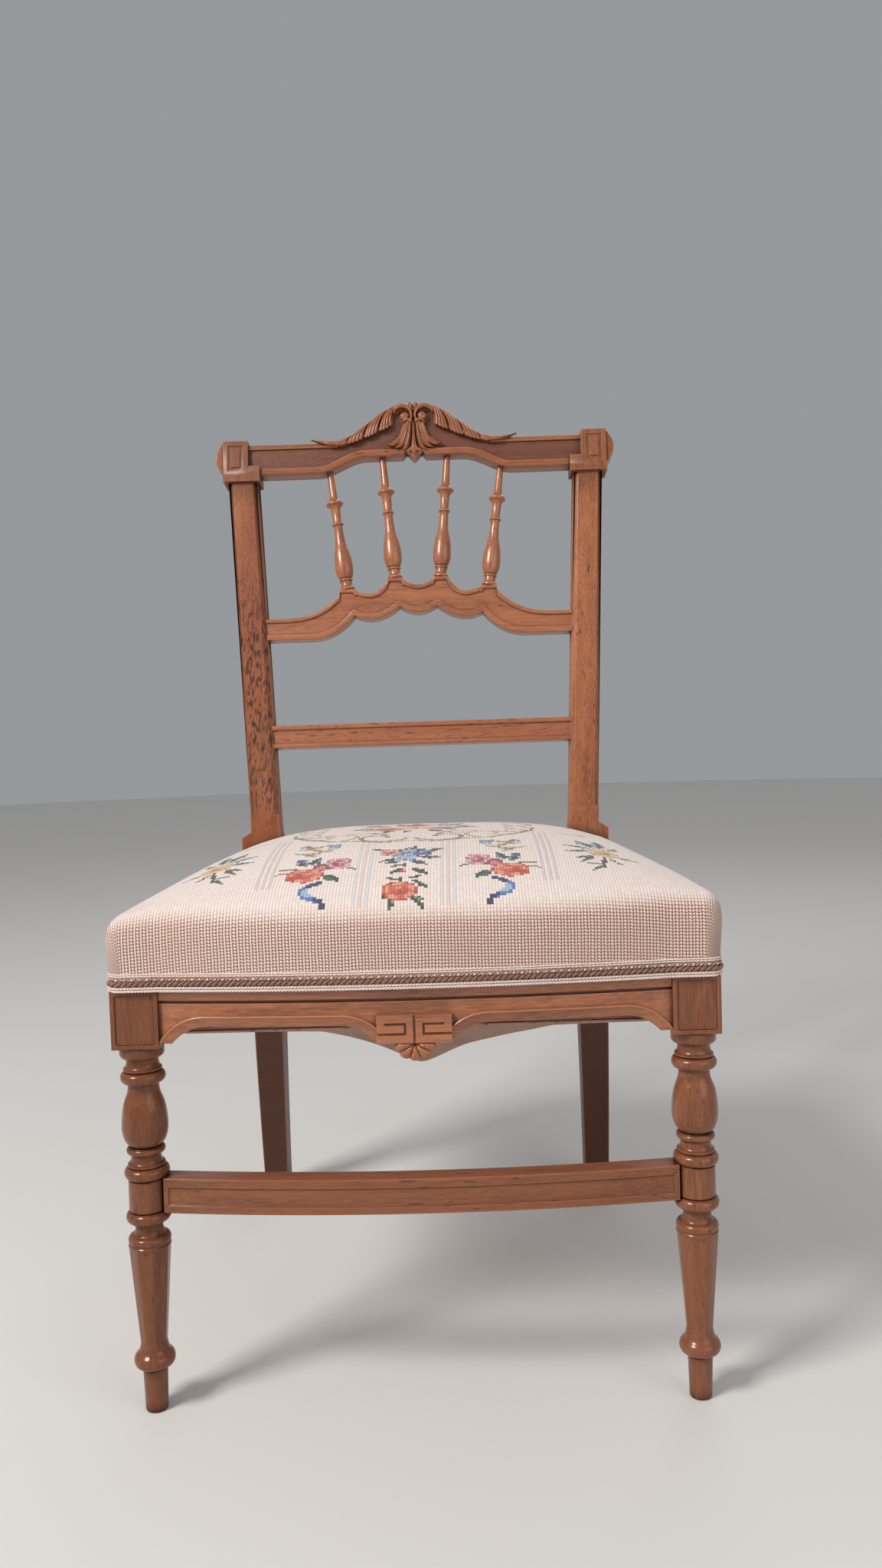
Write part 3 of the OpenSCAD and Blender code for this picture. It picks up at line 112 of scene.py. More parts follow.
def bump(t):
    """A smooth step from 0 to 1."""
    return (1 - math.cos(math.pi * clamp(t))) / 2


def linear(rgb):
    """A colour as a screen shows it, made the linear colour that the shader needs."""
    return (*Color(rgb[:3]).from_srgb_to_scene_linear(), 1.0)


def dimmed(rgb, share):
    """A colour with each part cut down to a share."""
    return tuple(share * part for part in rgb)


def colour_setting(name, description, default):
    """A colour in the sidebar, given as a screen shows it."""
    return FloatVectorProperty(name=name, description=description, subtype="COLOR_GAMMA",
                               default=default, min=0, max=1)


def number_setting(name, description, default, low, high, **more):
    """A number in the sidebar, with its range."""
    return FloatProperty(name=name, description=description, default=default, min=low, max=high,
                         **more)


class ChairWoodSettings(PropertyGroup):
    """Colours and finish of the varnished wood."""
    light: colour_setting("Light grain", "Colour of the light streaks", (0.755, 0.485, 0.305))
    middle: colour_setting("Wood", "Main colour of the wood", (0.64, 0.385, 0.235))
    dark: colour_setting("Dark grain", "Colour of the dark streaks", (0.45, 0.245, 0.145))
    # Also the colour of the painted shade in the corners, besides old wax and the dark flecks.
    grime_and_shade: colour_setting("Grime", "Colour of old wax in the corners", (0.17, 0.085, 0.05))
    edge: number_setting("Eased edge", "Width of the worn edges", 0.0007, 0.0002, 0.002,
                         unit="LENGTH")
    gloss: number_setting("Gloss", "Strength of the varnish", 0.55, 0, 1, subtype="FACTOR")


class ChairCarvingSettings(PropertyGroup):
    """Depth and division of the carving on the crest rail."""
    relief: number_setting("Relief", "Height of the leaves above the rail", 0.0046, 0.002, 0.006,
                           unit="LENGTH")
    flutes: IntProperty(
        name="Flutes", description="Flutes in each lobe of a leaf swag", default=4, min=1, max=5)


class ChairCoverSettings(PropertyGroup):
    """Stitches of the needlepoint, and the canvas and painted shade between them."""
    stitch: number_setting("Stitch", "Width of one stitch", 0.00235, 0.0018, 0.004, unit="LENGTH")
    # The colour between the ground stitches where the cover hangs down the sides: canvas with
    # painted shade.
    shade: colour_setting("Canvas", "Colour between the stitches of the ground",
                          (0.60, 0.41, 0.34))


class ChairStageSettings(PropertyGroup):
    """Floor and lamps."""
    floor: colour_setting("Floor", "Colour of the floor", (0.86, 0.855, 0.845))
    key: number_setting("Key lamp", "Power of the main lamp, in watts", 66, 0, 200)
    fill: number_setting("Fill lamp", "Power of the second lamp, in watts", 14, 0, 200)
    sky: number_setting("Sky", "Strength of the even light", 0.38, 0, 2)
    backdrop: number_setting("Backdrop", "Strength of the sky behind the chair", 0.33, 0, 2)


def settings(name):
    """The settings group of that name in the scene."""
    return getattr(bpy.context.scene, "chair_" + name)


HOLLOW_SAMPLES = 6


class Value:
    """A shader socket that sums, products and comparisons can be written with."""

    def __init__(self, paint, socket):
        self.paint = paint
        self.socket = socket

    def math(self, operation, *others, first=None):
        terms = [self, *others] if first is None else [first, self]
        return self.paint.node("ShaderNodeMath", {"operation": operation}, terms)

    def __add__(self, other):
        return self.math("ADD", other)

    def __sub__(self, other):
        return self.math("SUBTRACT", other)

    def __rsub__(self, other):
        return self.math("SUBTRACT", first=other)

    def __mul__(self, other):
        return self.math("MULTIPLY", other)

    def __truediv__(self, other):
        return self.math("DIVIDE", other)

    def __pow__(self, other):
        return self.math("POWER", other)

    __radd__ = __add__
    __rmul__ = __mul__

    def above(self, other):
        """1 where the value is above the other, and 0 elsewhere."""
        return self.math("GREATER_THAN", other)

    def larger(self, other):
        """The larger of the value and the other."""
        return self.math("MAXIMUM", other)

    def between(self, low, high):
        """0 at low, 1 at high, and in between a straight run."""
        return self.paint.node("ShaderNodeMapRange", {"clamp": True}, [self, low, high, 0.0, 1.0])


class Paint:
    """The nodes of one material, or of the sky."""

    def __init__(self, name, kind="materials"):
        self.material = getattr(bpy.data, kind).new(name)
        self.material.use_nodes = True
        self.tree = self.material.node_tree
        self.tree.nodes.clear()

    def node(self, kind, settings=None, inputs=(), output=0):
        """Adds a node: its settings first, and then the values or links of its sockets."""
        made = self.tree.nodes.new(kind)
        for key, value in (settings or {}).items():
            if key == "stops":
                self.set_stops(made.color_ramp, value)
            else:
                setattr(made, key, value)
        pairs = inputs.items() if isinstance(inputs, dict) else enumerate(inputs)
        for key, value in pairs:
            if isinstance(value, Value):
                self.tree.links.new(value.socket, made.inputs[key])
            else:
                made.inputs[key].default_value = value
        return Value(self, made.outputs[output]) if made.outputs else None

    @staticmethod
    def set_stops(ramp, stops):
        """Gives a colour ramp these places and colours."""
        while len(ramp.elements) < len(stops):
            ramp.elements.new(1.0)
        for element, (place, colour) in zip(ramp.elements, stops):
            element.position = place
            element.color = colour

    def mix(self, factor, a, b):
        """Colour a where the factor is 0 and b where it is 1."""
        return self.node("ShaderNodeMix", {"data_type": "RGBA"}, {0: factor, 6: a, 7: b}, output=2)

    def attribute(self, name, output="Fac"):
        """A value or colour that the mesh carries."""
        return self.node("ShaderNodeAttribute", {"attribute_name": name}, output=output)

    def object_place(self, scale=(1, 1, 1), move=(0, 0, 0)):
        """Object coordinates, stretched and moved."""
        place = self.node("ShaderNodeTexCoord", output="Object")
        return self.node("ShaderNodeMapping", {}, {
            "Vector": place, "Location": move, "Scale": scale})

    def noise(self, place, detail=2.0, roughness=0.5, distortion=0.0):
        """Soft noise at a place that is already stretched to its scale."""
        return self.node("ShaderNodeTexNoise", {}, {
            "Vector": place, "Scale": 1.0, "Detail": detail, "Roughness": roughness,
            "Distortion": distortion})

    def even_noise(self, scale, **more):
        """Noise in Object coordinates, equally fine along each axis."""
        return self.noise(self.object_place((scale, scale, scale)), **more)

    def hollow(self, reach, inside=False):
        """Share of open sky close to the surface: low in corners, or inside, low at edges."""
        return self.node("ShaderNodeAmbientOcclusion",
                         {"samples": HOLLOW_SAMPLES, "inside": inside, "only_local": inside},
                         {"Distance": reach}, output="AO")

    def part(self, place, axis):
        """One coordinate of a place."""
        return self.node("ShaderNodeSeparateXYZ", {}, [place], output=axis)

    def relief(self, height, distance):
        """A normal that makes the surface look raised by the height."""
        return self.node("ShaderNodeBump", {}, {
            "Height": height, "Distance": distance, "Strength": 1.0})

    def finish(self, **sockets):
        """Adds the surface shader with these sockets and returns the material."""
        shader = self.node("ShaderNodeBsdfPrincipled", {}, {
            key.replace("_", " "): value for key, value in sockets.items()})
        self.node("ShaderNodeOutputMaterial", {}, {"Surface": shader})
        return self.material


GRAIN_ALONG = 7.0
GRAIN_ACROSS = 210.0

# Heights above the floor, in metres, between which the finish of a tall piece changes: the painted
# shade under the seat, the darker head of the back, and the flecks of a stile
UNDER_SEAT = (0.22, 0.40)
HEAD_OF_BACK = (0.745, 0.76)
FLECKS_START = (0.40, 0.44)
FLECKS_END = (0.60, 0.72)
MANY_FLECKS = 1.0        # a fleck value above this spreads dark flecks over a stile only


def varnished_wood(name, axis="Z", fleck=0.3, warm=0.0, seed=0.0, aged=0.0, under_seat_shade=0.0,
                   high_aged=0.0, field=0.0, gloss=1.0, wear=0.7):
    """Varnished wood whose grain runs along one axis, with dark flecks, and corners darkened by old
    wax and painted shade. Aged darkens all of it, under_seat_shade paints shade on what is under
    the seat, high_aged darkens the head of the back, and field darkens what the tool has sunk and
    turns
    on the painted highlight of the rows marked for it. Wear is how far the edges are lightened:
    rubbed to the light wood, and a painted highlight where they catch the light."""
    look = settings("wood")
    paint = Paint(name)

    def grain(across, length):
        scale = [across] * 3
        scale["XYZ".index(axis)] = length
        return paint.object_place(scale, (seed * 3.7, seed * 1.9, seed * 2.3))

    streak = paint.noise(grain(GRAIN_ACROSS * 0.5, GRAIN_ALONG * 0.6), detail=4, distortion=0.25)
    fibre = paint.noise(grain(GRAIN_ACROSS * 4, GRAIN_ALONG * 9), detail=3)
    pores = paint.noise(grain(GRAIN_ACROSS * 5, GRAIN_ALONG * 16), detail=1)
    blotch = paint.noise(grain(14, 6), detail=3)
    tone = streak * 0.28 + fibre * 0.3 + blotch * 0.22 + 0.12
    colour = paint.node("ShaderNodeValToRGB", {"stops": [
        (0.40, linear(look.dark)), (0.53, linear(look.middle)), (0.70, linear(look.light))]},
        [tone])
    reds = linear((0.55, 0.27, 0.165))
    colour = paint.mix(warm * blotch.between(0.35, 0.6) if warm else 0.0, colour, reds)
    height = paint.part(paint.object_place(), 2)
    # Painted shade on what is under the seat: darker below the seat's height, added to the patina.
    patina_and_shade = aged + (1 - height.between(*UNDER_SEAT)) * under_seat_shade
    patina_and_shade = patina_and_shade + height.between(*HEAD_OF_BACK) * high_aged
    colour = paint.mix(patina_and_shade, colour, linear(dimmed(look.dark, 0.62)))
    if field:
        sunk = paint.attribute("sunk")
        colour = paint.mix(sunk.larger(0.0) * field, colour, linear((0.36, 0.21, 0.17)))
        # Rows marked below zero get a painted highlight in the light wood colour.
        colour = paint.mix((0 - sunk).larger(0.0) * 0.8, colour, linear(look.light))
    pore = pores.between(0.60, 0.66) * blotch.between(0.35, 0.65)
    colour = paint.mix(pore * 0.45, colour, linear(look.dark))
    worm = paint.noise(grain(GRAIN_ACROSS * 2.6, GRAIN_ALONG * 9), detail=1)
    level = 0.71 - 0.075 * fleck
    spread = 0.15 if fleck > MANY_FLECKS else 0.0
    flecks = worm.between(level, level + 0.035) * blotch.between(0.4 - spread, 0.55 - spread)
    if fleck > MANY_FLECKS:
        flecks = flecks * height.between(*FLECKS_START) * (1 - height.between(*FLECKS_END))
    colour = paint.mix(flecks * 0.85, colour, linear(look.grime_and_shade))
    # Painted shade in the corners: darker where the occlusion is high, together with old wax spread
    # by the blotch noise.
    corner = 1 - paint.hollow(0.010).between(0.3, 0.97)
    dirt_and_shade = (corner * (0.6 + blotch)).between(0.04, 0.95)
    colour = paint.mix(dirt_and_shade * 0.9, colour, linear(look.grime_and_shade))
    if wear:
        # Convex edges lightened to the light wood: rubbed wear, and a painted highlight where the
        # edges catch the light.
        worn = 1 - paint.hollow(0.0018, inside=True).between(0.5, 0.95)
        colour = paint.mix(worn * blotch.between(0.2, 0.6) * wear, colour, linear(look.light))
    surface = fibre * 0.25 + streak * 0.5 - pore * 0.5 - flecks * 0.6
    ripple = paint.even_noise(90)
    return paint.finish(
        Base_Color=colour,
        Roughness=0.34 + fibre * 0.16 + dirt_and_shade * 0.25,
        Coat_Weight=look.gloss * gloss * (1.15 - dirt_and_shade * 0.8),
        Coat_Roughness=0.17,
        Specular_IOR_Level=0.5 - 0.65 * aged,
        Normal=paint.relief(surface + ripple * 1.3, 0.00028),
    )


def raw_wood(name):
    """Planed wood without varnish, for blocks and hidden faces, with its grain across."""
    paint = Paint(name)
    streak = paint.noise(paint.object_place((8.0, 150.0, 150.0)), detail=4, distortion=0.5)
    # Painted shade in the corners, from the occlusion, together with dust.
    dust_and_shade = 1 - paint.hollow(0.02).between(0.3, 1.0)
    colour = paint.node("ShaderNodeValToRGB", {"stops": [
        (0.35, linear((0.46, 0.34, 0.24))), (0.65, linear((0.70, 0.56, 0.41)))]}, [streak])
    colour = paint.mix(dust_and_shade * 0.6, colour, linear((0.24, 0.17, 0.12)))
    return paint.finish(Base_Color=colour, Roughness=0.68 + streak * 0.2,
                        Normal=paint.relief(streak, 0.0004))


def old_iron(name, tint=(0.30, 0.27, 0.25)):
    """Dark iron with a little rust."""
    paint = Paint(name)
    spots = paint.even_noise(300, detail=4)
    rust = spots.between(0.5, 0.7)
    colour = paint.mix(rust, linear(tint), linear((0.36, 0.2, 0.12)))
    return paint.finish(Base_Color=colour, Metallic=0.85 - rust * 0.7,
                        Roughness=0.42 + spots * 0.3, Normal=paint.relief(spots, 0.0003))


def woven(name, colour, dark, pitch, fray=0.3):
    """Plain weave on the piece's own UV map, which is in metres."""
    paint = Paint(name)
    place = paint.node("ShaderNodeUVMap", {"uv_map": "cloth"})
    across = paint.part(place, 0) * (math.pi / pitch)
    along = paint.part(place, 1) * (math.pi / pitch)
    warp = across.math("SINE").math("ABSOLUTE")
    weft = along.math("SINE").math("ABSOLUTE")
    over = (across.math("COSINE") * along.math("COSINE")).between(-0.3, 0.3)
    height = warp * over + weft * (1 - over)
    yarn = paint.even_noise(900)
    stain = paint.even_noise(25, detail=4)
    shade = (height * 0.75 + yarn * 0.5 - stain.between(0.45, 0.8) * fray).between(0.1, 1.0)
    tone = paint.mix(shade, linear(dark), linear(colour))
    return paint.finish(Base_Color=tone, Roughness=0.9, Sheen_Weight=0.15,
                        Normal=paint.relief(height + yarn * 0.4, 0.0006))


def strand(name, colour, dark):
    """Twisted yarn of a cord or braid."""
    paint = Paint(name)
    fibre = paint.even_noise(1600)
    soil = paint.even_noise(18, detail=3)
    # Painted shade in the gaps between strands, from the occlusion, together with soil from the
    # noise.
    gap = 1 - paint.hollow(0.0016).between(0.3, 1.0)
    tone = paint.mix(fibre.between(0.35, 0.7), linear(dark), linear(colour))
    dirt_and_shade = (gap * 0.7 + soil.between(0.5, 0.8) * 0.15).between(0, 1)
    tone = paint.mix(dirt_and_shade, tone, linear(dimmed(dark, 0.5)))
    return paint.finish(Base_Color=tone, Roughness=0.55, Sheen_Weight=0.2,
                        Normal=paint.relief(fibre, 0.0002))


def needlepoint(name):
    """Wool stitches: a ground of beads and ribs, and slanted stitches in the flowers."""
    look = settings("cover")
    paint = Paint(name)
    place = paint.node("ShaderNodeUVMap", {"uv_map": "stitches"})
    wave = paint.even_noise(60) - 0.5
    across_seat = paint.part(paint.object_place(), 0)
    u = paint.part(place, 0) + wave * 0.35
    v = paint.part(place, 1) + wave * 0.5
    fu, fv = u.math("FRACT") - 0.5, v.math("FRACT") - 0.5
    thread = paint.attribute("thread", "Color")
    worked = paint.attribute("thread", "Alpha")
    hang = paint.attribute("hang")
    beaded = (u * 0.5).math("FRACT").above(0.5)
    slant = fv + fu * 0.35
    bead = (1 - (fu * 1.9) ** 2 - (slant * 2.15) ** 2).larger(0.0) ** 0.5
    rows = across_seat.between(-0.12, 0.12)
    rib = (1 - (fu * 2.7) ** 2 - (fv * (1.65 + rows * 0.35)) ** 4 * 1.4).larger(0.0) ** 0.5
    ground = rib * (1 - beaded) * 0.9 + bead * beaded
    along, across = (fu + fv) * 0.707, (fu - fv) * 0.707
    tent = (1 - (along * 1.5) ** 2 - (across * 2.5) ** 2).larger(0.0) ** 0.5
    height = ground * (1 - worked) + tent * worked
    cell = paint.node("ShaderNodeCombineXYZ", {}, [u.math("FLOOR"), v.math("FLOOR"), 0.0])
    chance = paint.node("ShaderNodeTexWhiteNoise", {"noise_dimensions": "2D"}, {"Vector": cell})
    wool = paint.even_noise(1500)
    soil = paint.even_noise(9, detail=4, roughness=0.6)
    # The gaps between stitches are painted darker: canvas colour between the ground stitches on
    # top, canvas with painted shade on the sides, and painted shade between the slanted stitches.
    gap = (1 - height).between(0.22, 0.74)
    flat_rib = 1 - (fu * 2.0).math("ABSOLUTE").between(0.75, 1.0) * 0.8
    top_gap = (1 - flat_rib) * (1 - worked) + gap * worked * 0.7
    share = hang.between(0.0, 1.0)
    shaded_gaps = gap * share + top_gap * (1 - share)
    # On the sides the ground gaps take the painted shade colour, turning tan towards the right.
    side_gap_shade = paint.mix(rows * 0.6, linear(look.shade), linear((0.60, 0.39, 0.27)))
    thread = paint.mix(share * (1 - worked) * 0.7, thread, linear((1.0, 0.89, 0.845)))
    canvas = paint.mix(share, linear((0.78, 0.68, 0.64)), side_gap_shade)
    # Between slanted stitches the thread is darkened towards black: painted shade.
    under = paint.mix(worked, canvas, paint.mix(0.6, thread, (0.02, 0.015, 0.015, 1)))
    colour = paint.mix(shaded_gaps * 0.97, thread, under)
    fade = (chance * 0.13 + wool * 0.13).between(0.0, 1.0)
    colour = paint.mix(fade, colour, linear((0.60, 0.48, 0.42)))
    colour = paint.mix(soil.between(0.5, 0.75) * (0.08 + share * (0.15 + rows * 0.2)), colour,
                       linear((0.76, 0.60, 0.48)))
    return paint.finish(Base_Color=colour, Roughness=0.82 + wool * 0.12, Sheen_Weight=0.25,
                        Sheen_Roughness=0.5,
                        Normal=paint.relief(height * (0.35 + share * 0.65) + wool * 0.2, 0.0009))


def stuffing_wool(name):
    """Cotton wadding over hair."""
    paint = Paint(name)
    fluff = paint.even_noise(240, detail=6, roughness=0.7)
    colour = paint.mix(fluff, linear((0.72, 0.66, 0.56)), linear((0.90, 0.87, 0.81)))
    return paint.finish(Base_Color=colour, Roughness=0.95, Normal=paint.relief(fluff, 0.003))


def finished(name, bm, material, replaced=(), sharp=35.0, recalc=True):
    """Turns a bmesh into a piece that rides on the frame and stands for these nodes."""
    if recalc:
        bmesh.ops.recalc_face_normals(bm, faces=bm.faces)
    mesh = bpy.data.meshes.new(name)
    bm.to_mesh(mesh)
    bm.free()
    mesh.shade_smooth()
    mesh.set_sharp_from_angle(angle=math.radians(sharp))
    mesh.materials.append(material)
    piece = bpy.data.objects.new(name, mesh)
    bpy.context.scene.collection.objects.link(piece)
    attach(piece, "root")
    if replaced:
        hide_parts(*replaced)
    return piece


def eased(piece, width=None, angle=32.0):
    """Rounds the edges of a piece as hand work and wear do."""
    bevel = piece.modifiers.new("Eased edges", "BEVEL")
    bevel.width = settings("wood").edge if width is None else width
    bevel.segments = 2
    bevel.limit_method = "ANGLE"
    bevel.angle_limit = math.radians(angle)
    bevel.use_clamp_overlap = False
    bevel.harden_normals = True
    return piece


def thickened(piece, thickness, offset=-1.0):
    """Gives a sheet its thickness in millimetres, inward or, at offset 0, to both sides."""
    wall = piece.modifiers.new("Thickness", "SOLIDIFY")
    wall.thickness = thickness * MM
    wall.offset = offset


def merged_copy(node):
    """A bmesh of a node's solid, with its loose triangles joined to whole faces."""
    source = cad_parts[node]
    bm = bmesh.new()
    bm.from_mesh(source.data)
    bm.transform(source.matrix_world)
    bmesh.ops.remove_doubles(bm, verts=bm.verts, dist=1e-5)
    bmesh.ops.dissolve_limit(bm, angle_limit=math.radians(0.6), verts=bm.verts, edges=bm.edges)
    return bm


def from_solid(node, material, width=None, change=None):
    """A piece with the form of its solid and eased edges, once it has been changed in detail."""
    bm = merged_copy(node)
    if change:
        change(bm)
    piece = finished(node + "_finished", bm, material, [node], sharp=30.0)
    return eased(piece, width)


def mapped_grid(bm, columns, rows, place):
    """Adds a grid; place gives the point for shares from 0 to 1 across and up."""
    made = bmesh.ops.create_grid(bm, x_segments=columns, y_segments=rows, size=1)["verts"]
    for vert in made:
        vert.co = place((vert.co.x + 1) / 2, (vert.co.y + 1) / 2)
    return made


def welded(bm, verts):
    """Joins the vertices that lie on one point and gives those that are left."""
    bmesh.ops.remove_doubles(bm, verts=verts, dist=1e-6)
    return [v for v in verts if v.is_valid]


def filled(bm):
    """Closes every open rim with a face."""
    rim = [e for e in bm.edges if e.is_boundary]
    bmesh.ops.holes_fill(bm, edges=rim, sides=0)


def skirted(bm, verts, move):
    """Extrudes the open rim of these vertices by a vector, so that a carved face has sides."""
    inside = set(verts)
    rim = [e for e in bm.edges if e.is_boundary and e.verts[0] in inside and e.verts[1] in inside]
    made = bmesh.ops.extrude_edge_only(bm, edges=rim)["geom"]
    moved = [g for g in made if isinstance(g, bmesh.types.BMVert)]
    bmesh.ops.translate(bm, verts=moved, vec=move)


def arc(cx, cy, rx, ry, start, end, steps):
    """Points of an elliptic arc, with its angles in degrees."""
    angles = [math.radians(lerp(start, end, i / steps)) for i in range(steps + 1)]
    return [(cx + rx * math.cos(a), cy + ry * math.sin(a)) for a in angles]


def bead(r, reach, low, high, steps=12):
    """A half-round bead of a turning."""
    return arc(r, (low + high) / 2, reach, (high - low) / 2, -90, 90, steps)


def curve(p0, p1, p2, steps=12):
    """Points of a quadratic curve."""
    shares = [i / steps for i in range(steps + 1)]
    return [tuple((1 - t) ** 2 * a + 2 * t * (1 - t) * b + t * t * c
                  for a, b, c in zip(p0, p1, p2)) for t in shares]


def turned(bm, profile, matrix, steps=64):
    """Spins a profile of radii and heights about the Z axis, then sets it in its place."""
    verts = [bm.verts.new((r * MM, 0, z * MM)) for r, z in profile]
    edges = [bm.edges.new(pair) for pair in zip(verts, verts[1:])]
    bmesh.ops.spin(bm, geom=verts + edges, cent=(0, 0, 0), axis=(0, 0, 1), angle=2 * math.pi,
                   steps=steps, use_merge=True)
    made = [v for v in bm.verts if v.is_valid and not v.tag]
    bmesh.ops.remove_doubles(bm, verts=made, dist=1e-6)
    made = [v for v in bm.verts if not v.tag]
    for v in made:
        v.tag = True
    bmesh.ops.transform(bm, matrix=matrix, verts=made)


# Heights of the front leg, in millimetres
PEG_H = 32
TAPER_Z = PEG_H + 18
STAGE_H = 24
STAGE_Z = LEG_H - 99 - STAGE_H
STAGE_TOP = STAGE_Z + STAGE_H
RING_H = 9
NECK_Z = STAGE_Z - 3 * RING_H
FOOT_PROFILE = [
    (0, 0), (6.8, 0), (7.8, 0.4), (8.2, 1.4), (8.25, 3), (9.2, PEG_H - 1), (9.3, PEG_H + 1.4),
    *curve((9.4, PEG_H + 1.6), (14.4, PEG_H + 1.2), (15.2, PEG_H + 6.4), 8),
    *curve((15.2, PEG_H + 6.6), (15.3, PEG_H + 9.6), (13.2, PEG_H + 11.6), 6),
    *curve((13.2, PEG_H + 11.6), (10.6, PEG_H + 13.8), (10.2, TAPER_Z), 6),
    (9.3, TAPER_Z + 4), (0, TAPER_Z + 4)]
LEG_PROFILE = [
    (0, NECK_Z - 2), (14.1, NECK_Z - 2), (15.5, NECK_Z), (15.5, NECK_Z + 1.2),
    *arc(12.6, NECK_Z + 5, 3, 3.4, -50, 80, 8),
    *curve((12.0, NECK_Z + 8.6), (9.9, NECK_Z + 10), (9.8, NECK_Z + 18), 8),
    *bead(12, 4.3, STAGE_Z - RING_H, STAGE_Z),
    (14, STAGE_Z + 0.5), (14, STAGE_TOP - 0.5),
    *bead(12.4, 4.2, STAGE_TOP, STAGE_TOP + RING_H),
    (14, STAGE_TOP + 9.5), (13.6, STAGE_TOP + 11),
    *curve((13.2, STAGE_TOP + 11.3), (10.9, STAGE_TOP + 11.5), (10.9, LEG_H - 82), 6),
    *bead(11.8, 2.4, LEG_H - 80.5, LEG_H - 75.5), (11.6, LEG_H - 75),
    *arc(9.8, LEG_H - 60, 7.2, 15, -84, 0, 12),
    *curve((17.0, LEG_H - 60), (16.6, LEG_H - 46), (13.2, LEG_H - 39), 10),
    *curve((13.2, LEG_H - 39), (11.4, LEG_H - 35), (11.3, LEG_H - 31), 6),
    (11.3, LEG_H - 28.5),
    *bead(12.4, 4.1, LEG_H - 28, LEG_H - 19),
    (14.1, LEG_H - 18.6), (14.1, LEG_H - 17),
    *curve((13.8, LEG_H - 16.7), (11.8, LEG_H - 16), (11.7, LEG_H - 11), 6),
    *curve((12.2, LEG_H - 9.4), (15.2, LEG_H - 9.2), (16.3, LEG_H - 6.5), 5),
    (16.3, LEG_H - 0.5), (15.6, LEG_H + 0.4), (0, LEG_H + 0.4)]


PANEL_BORDER = 5
PANEL_STEP = 0.5
PANEL_SINK = 1.3
TOP_INSET = 4

# Waviness that hand turning leaves: its size in millimetres, how fine it is, and where the noise
# is read for each axis. noise_vector isn't used, because it gives other values in each session.
WAVINESS = 0.35
WAVE_SCALE = 55
WAVE_READS = (Vector((0.4, 0.7, 0.2)), Vector((3.7, 8.1, 1.9)), Vector((9.3, 2.6, 6.4)))


def hand_wave(place, side):
    """The small shift of a point of a front leg."""
    at = place * WAVE_SCALE + Vector((side * 7, 0, 0))
    return Vector([noise.noise(at + read) for read in WAVE_READS]) * WAVINESS * MM


def linked(verts, kind):
    """The edges or faces at these vertices, once each and always in the same order."""
    return list(dict.fromkeys(item for vert in verts for item in getattr(vert, kind)))


def leg_block(bm, side):
    """The square block of a front leg, with a sunk panel on its front and outer faces."""
    panel_top = HEM_Z + 1
    cube = bmesh.ops.create_cube(bm, size=1)["verts"]
    for vert in cube:
        x = side * LEG_X + vert.co.x * BLOCK
        vert.co = spot(x, vert.co.y * BLOCK, lerp(LEG_H, panel_top, vert.co.z + 0.5))
    faces = linked(cube, "link_faces")
    for face in faces:
        face.normal_update()
    shown = [f for f in faces if f.normal.y < -0.9 or f.normal.x * side > 0.9]
    top = [f for f in faces if f.normal.z > 0.9]
    bmesh.ops.inset_region(bm, faces=top, thickness=TOP_INSET * MM)
    raised = bmesh.ops.extrude_discrete_faces(bm, faces=top)["faces"]
    bmesh.ops.translate(bm, verts=raised[0].verts, vec=(0, 0, (RAIL_TOP - panel_top) * MM))
    for face in shown:
        bmesh.ops.inset_region(bm, faces=[face], thickness=PANEL_BORDER * MM)
        bmesh.ops.inset_region(bm, faces=[face], thickness=PANEL_STEP * MM,
                               depth=-PANEL_SINK * MM)


class CHAIR_OT_front_legs(Operator):
    """Turns the front legs, with their blocks, rings, bulbs and eight-sided tapers"""
    bl_idname = "chair.front_legs"
    bl_label = "Front Legs"

    def execute(self, context):
        for side, word in ((-1, "left"), (1, "right")):
            bm = bmesh.new()
            place = Matrix.Translation(spot(side * LEG_X, 0, 0))
            turned(bm, FOOT_PROFILE, place)
            turned(bm, LEG_PROFILE, place)
            taper = bmesh.ops.create_cone(
                bm, segments=8, radius1=9.9 * MM, radius2=15.6 * MM,
                depth=(NECK_Z - TAPER_Z) * MM)["verts"]
            turn = Matrix.Rotation(math.radians(22.5), 4, "Z")
            rise = Matrix.Translation((0, 0, (NECK_Z + TAPER_Z) / 2 * MM))
            bmesh.ops.transform(bm, matrix=place @ rise @ turn, verts=taper)
            edges = [e for e in linked(taper, "link_edges")
                     if abs(e.verts[0].co.z - e.verts[1].co.z) > 0.01]
            bmesh.ops.bevel(bm, geom=edges, offset=0.9 * MM, segments=2, profile=0.5,
                            affect="EDGES", material=-1)
            leg_block(bm, side)
            for vert in bm.verts:
                if vert.co.z < (LEG_H - 6) * MM:
                    vert.co += hand_wave(vert.co, side)
            wood = varnished_wood(f"Leg wood {word}", "Z", 0.25, 0.3, side * 1.3,
                                  0.5 - side * 0.08, wear=0)
            leg = finished(f"front_leg_{word}_turned", bm, wood,
                           [f"front_leg_{word}"])
            eased(leg, 0.0008, angle=50)
        return {"FINISHED"}


# The stiles, in millimetres from the shoulder; they lean outwards by STILE_LEAN for each millimetre
CHAMFER_TOP = 359.5
PLINTH_S = 377.5
STILE_LEAN = 0.0525
STILE_IN = 151


def full_chamfers(bm):
    """Carries the chamfers of a stile up to its plinth."""
    inverse = BACK.inverted()
    for vert in bm.verts:
        x, y, s = (part / MM for part in inverse @ vert.co)
        if abs(s - CHAMFER_TOP) < 1:
            rise = PLINTH_S - 0.3 - s
            vert.co = back(x + math.copysign(STILE_LEAN * rise, x), y, s + rise)


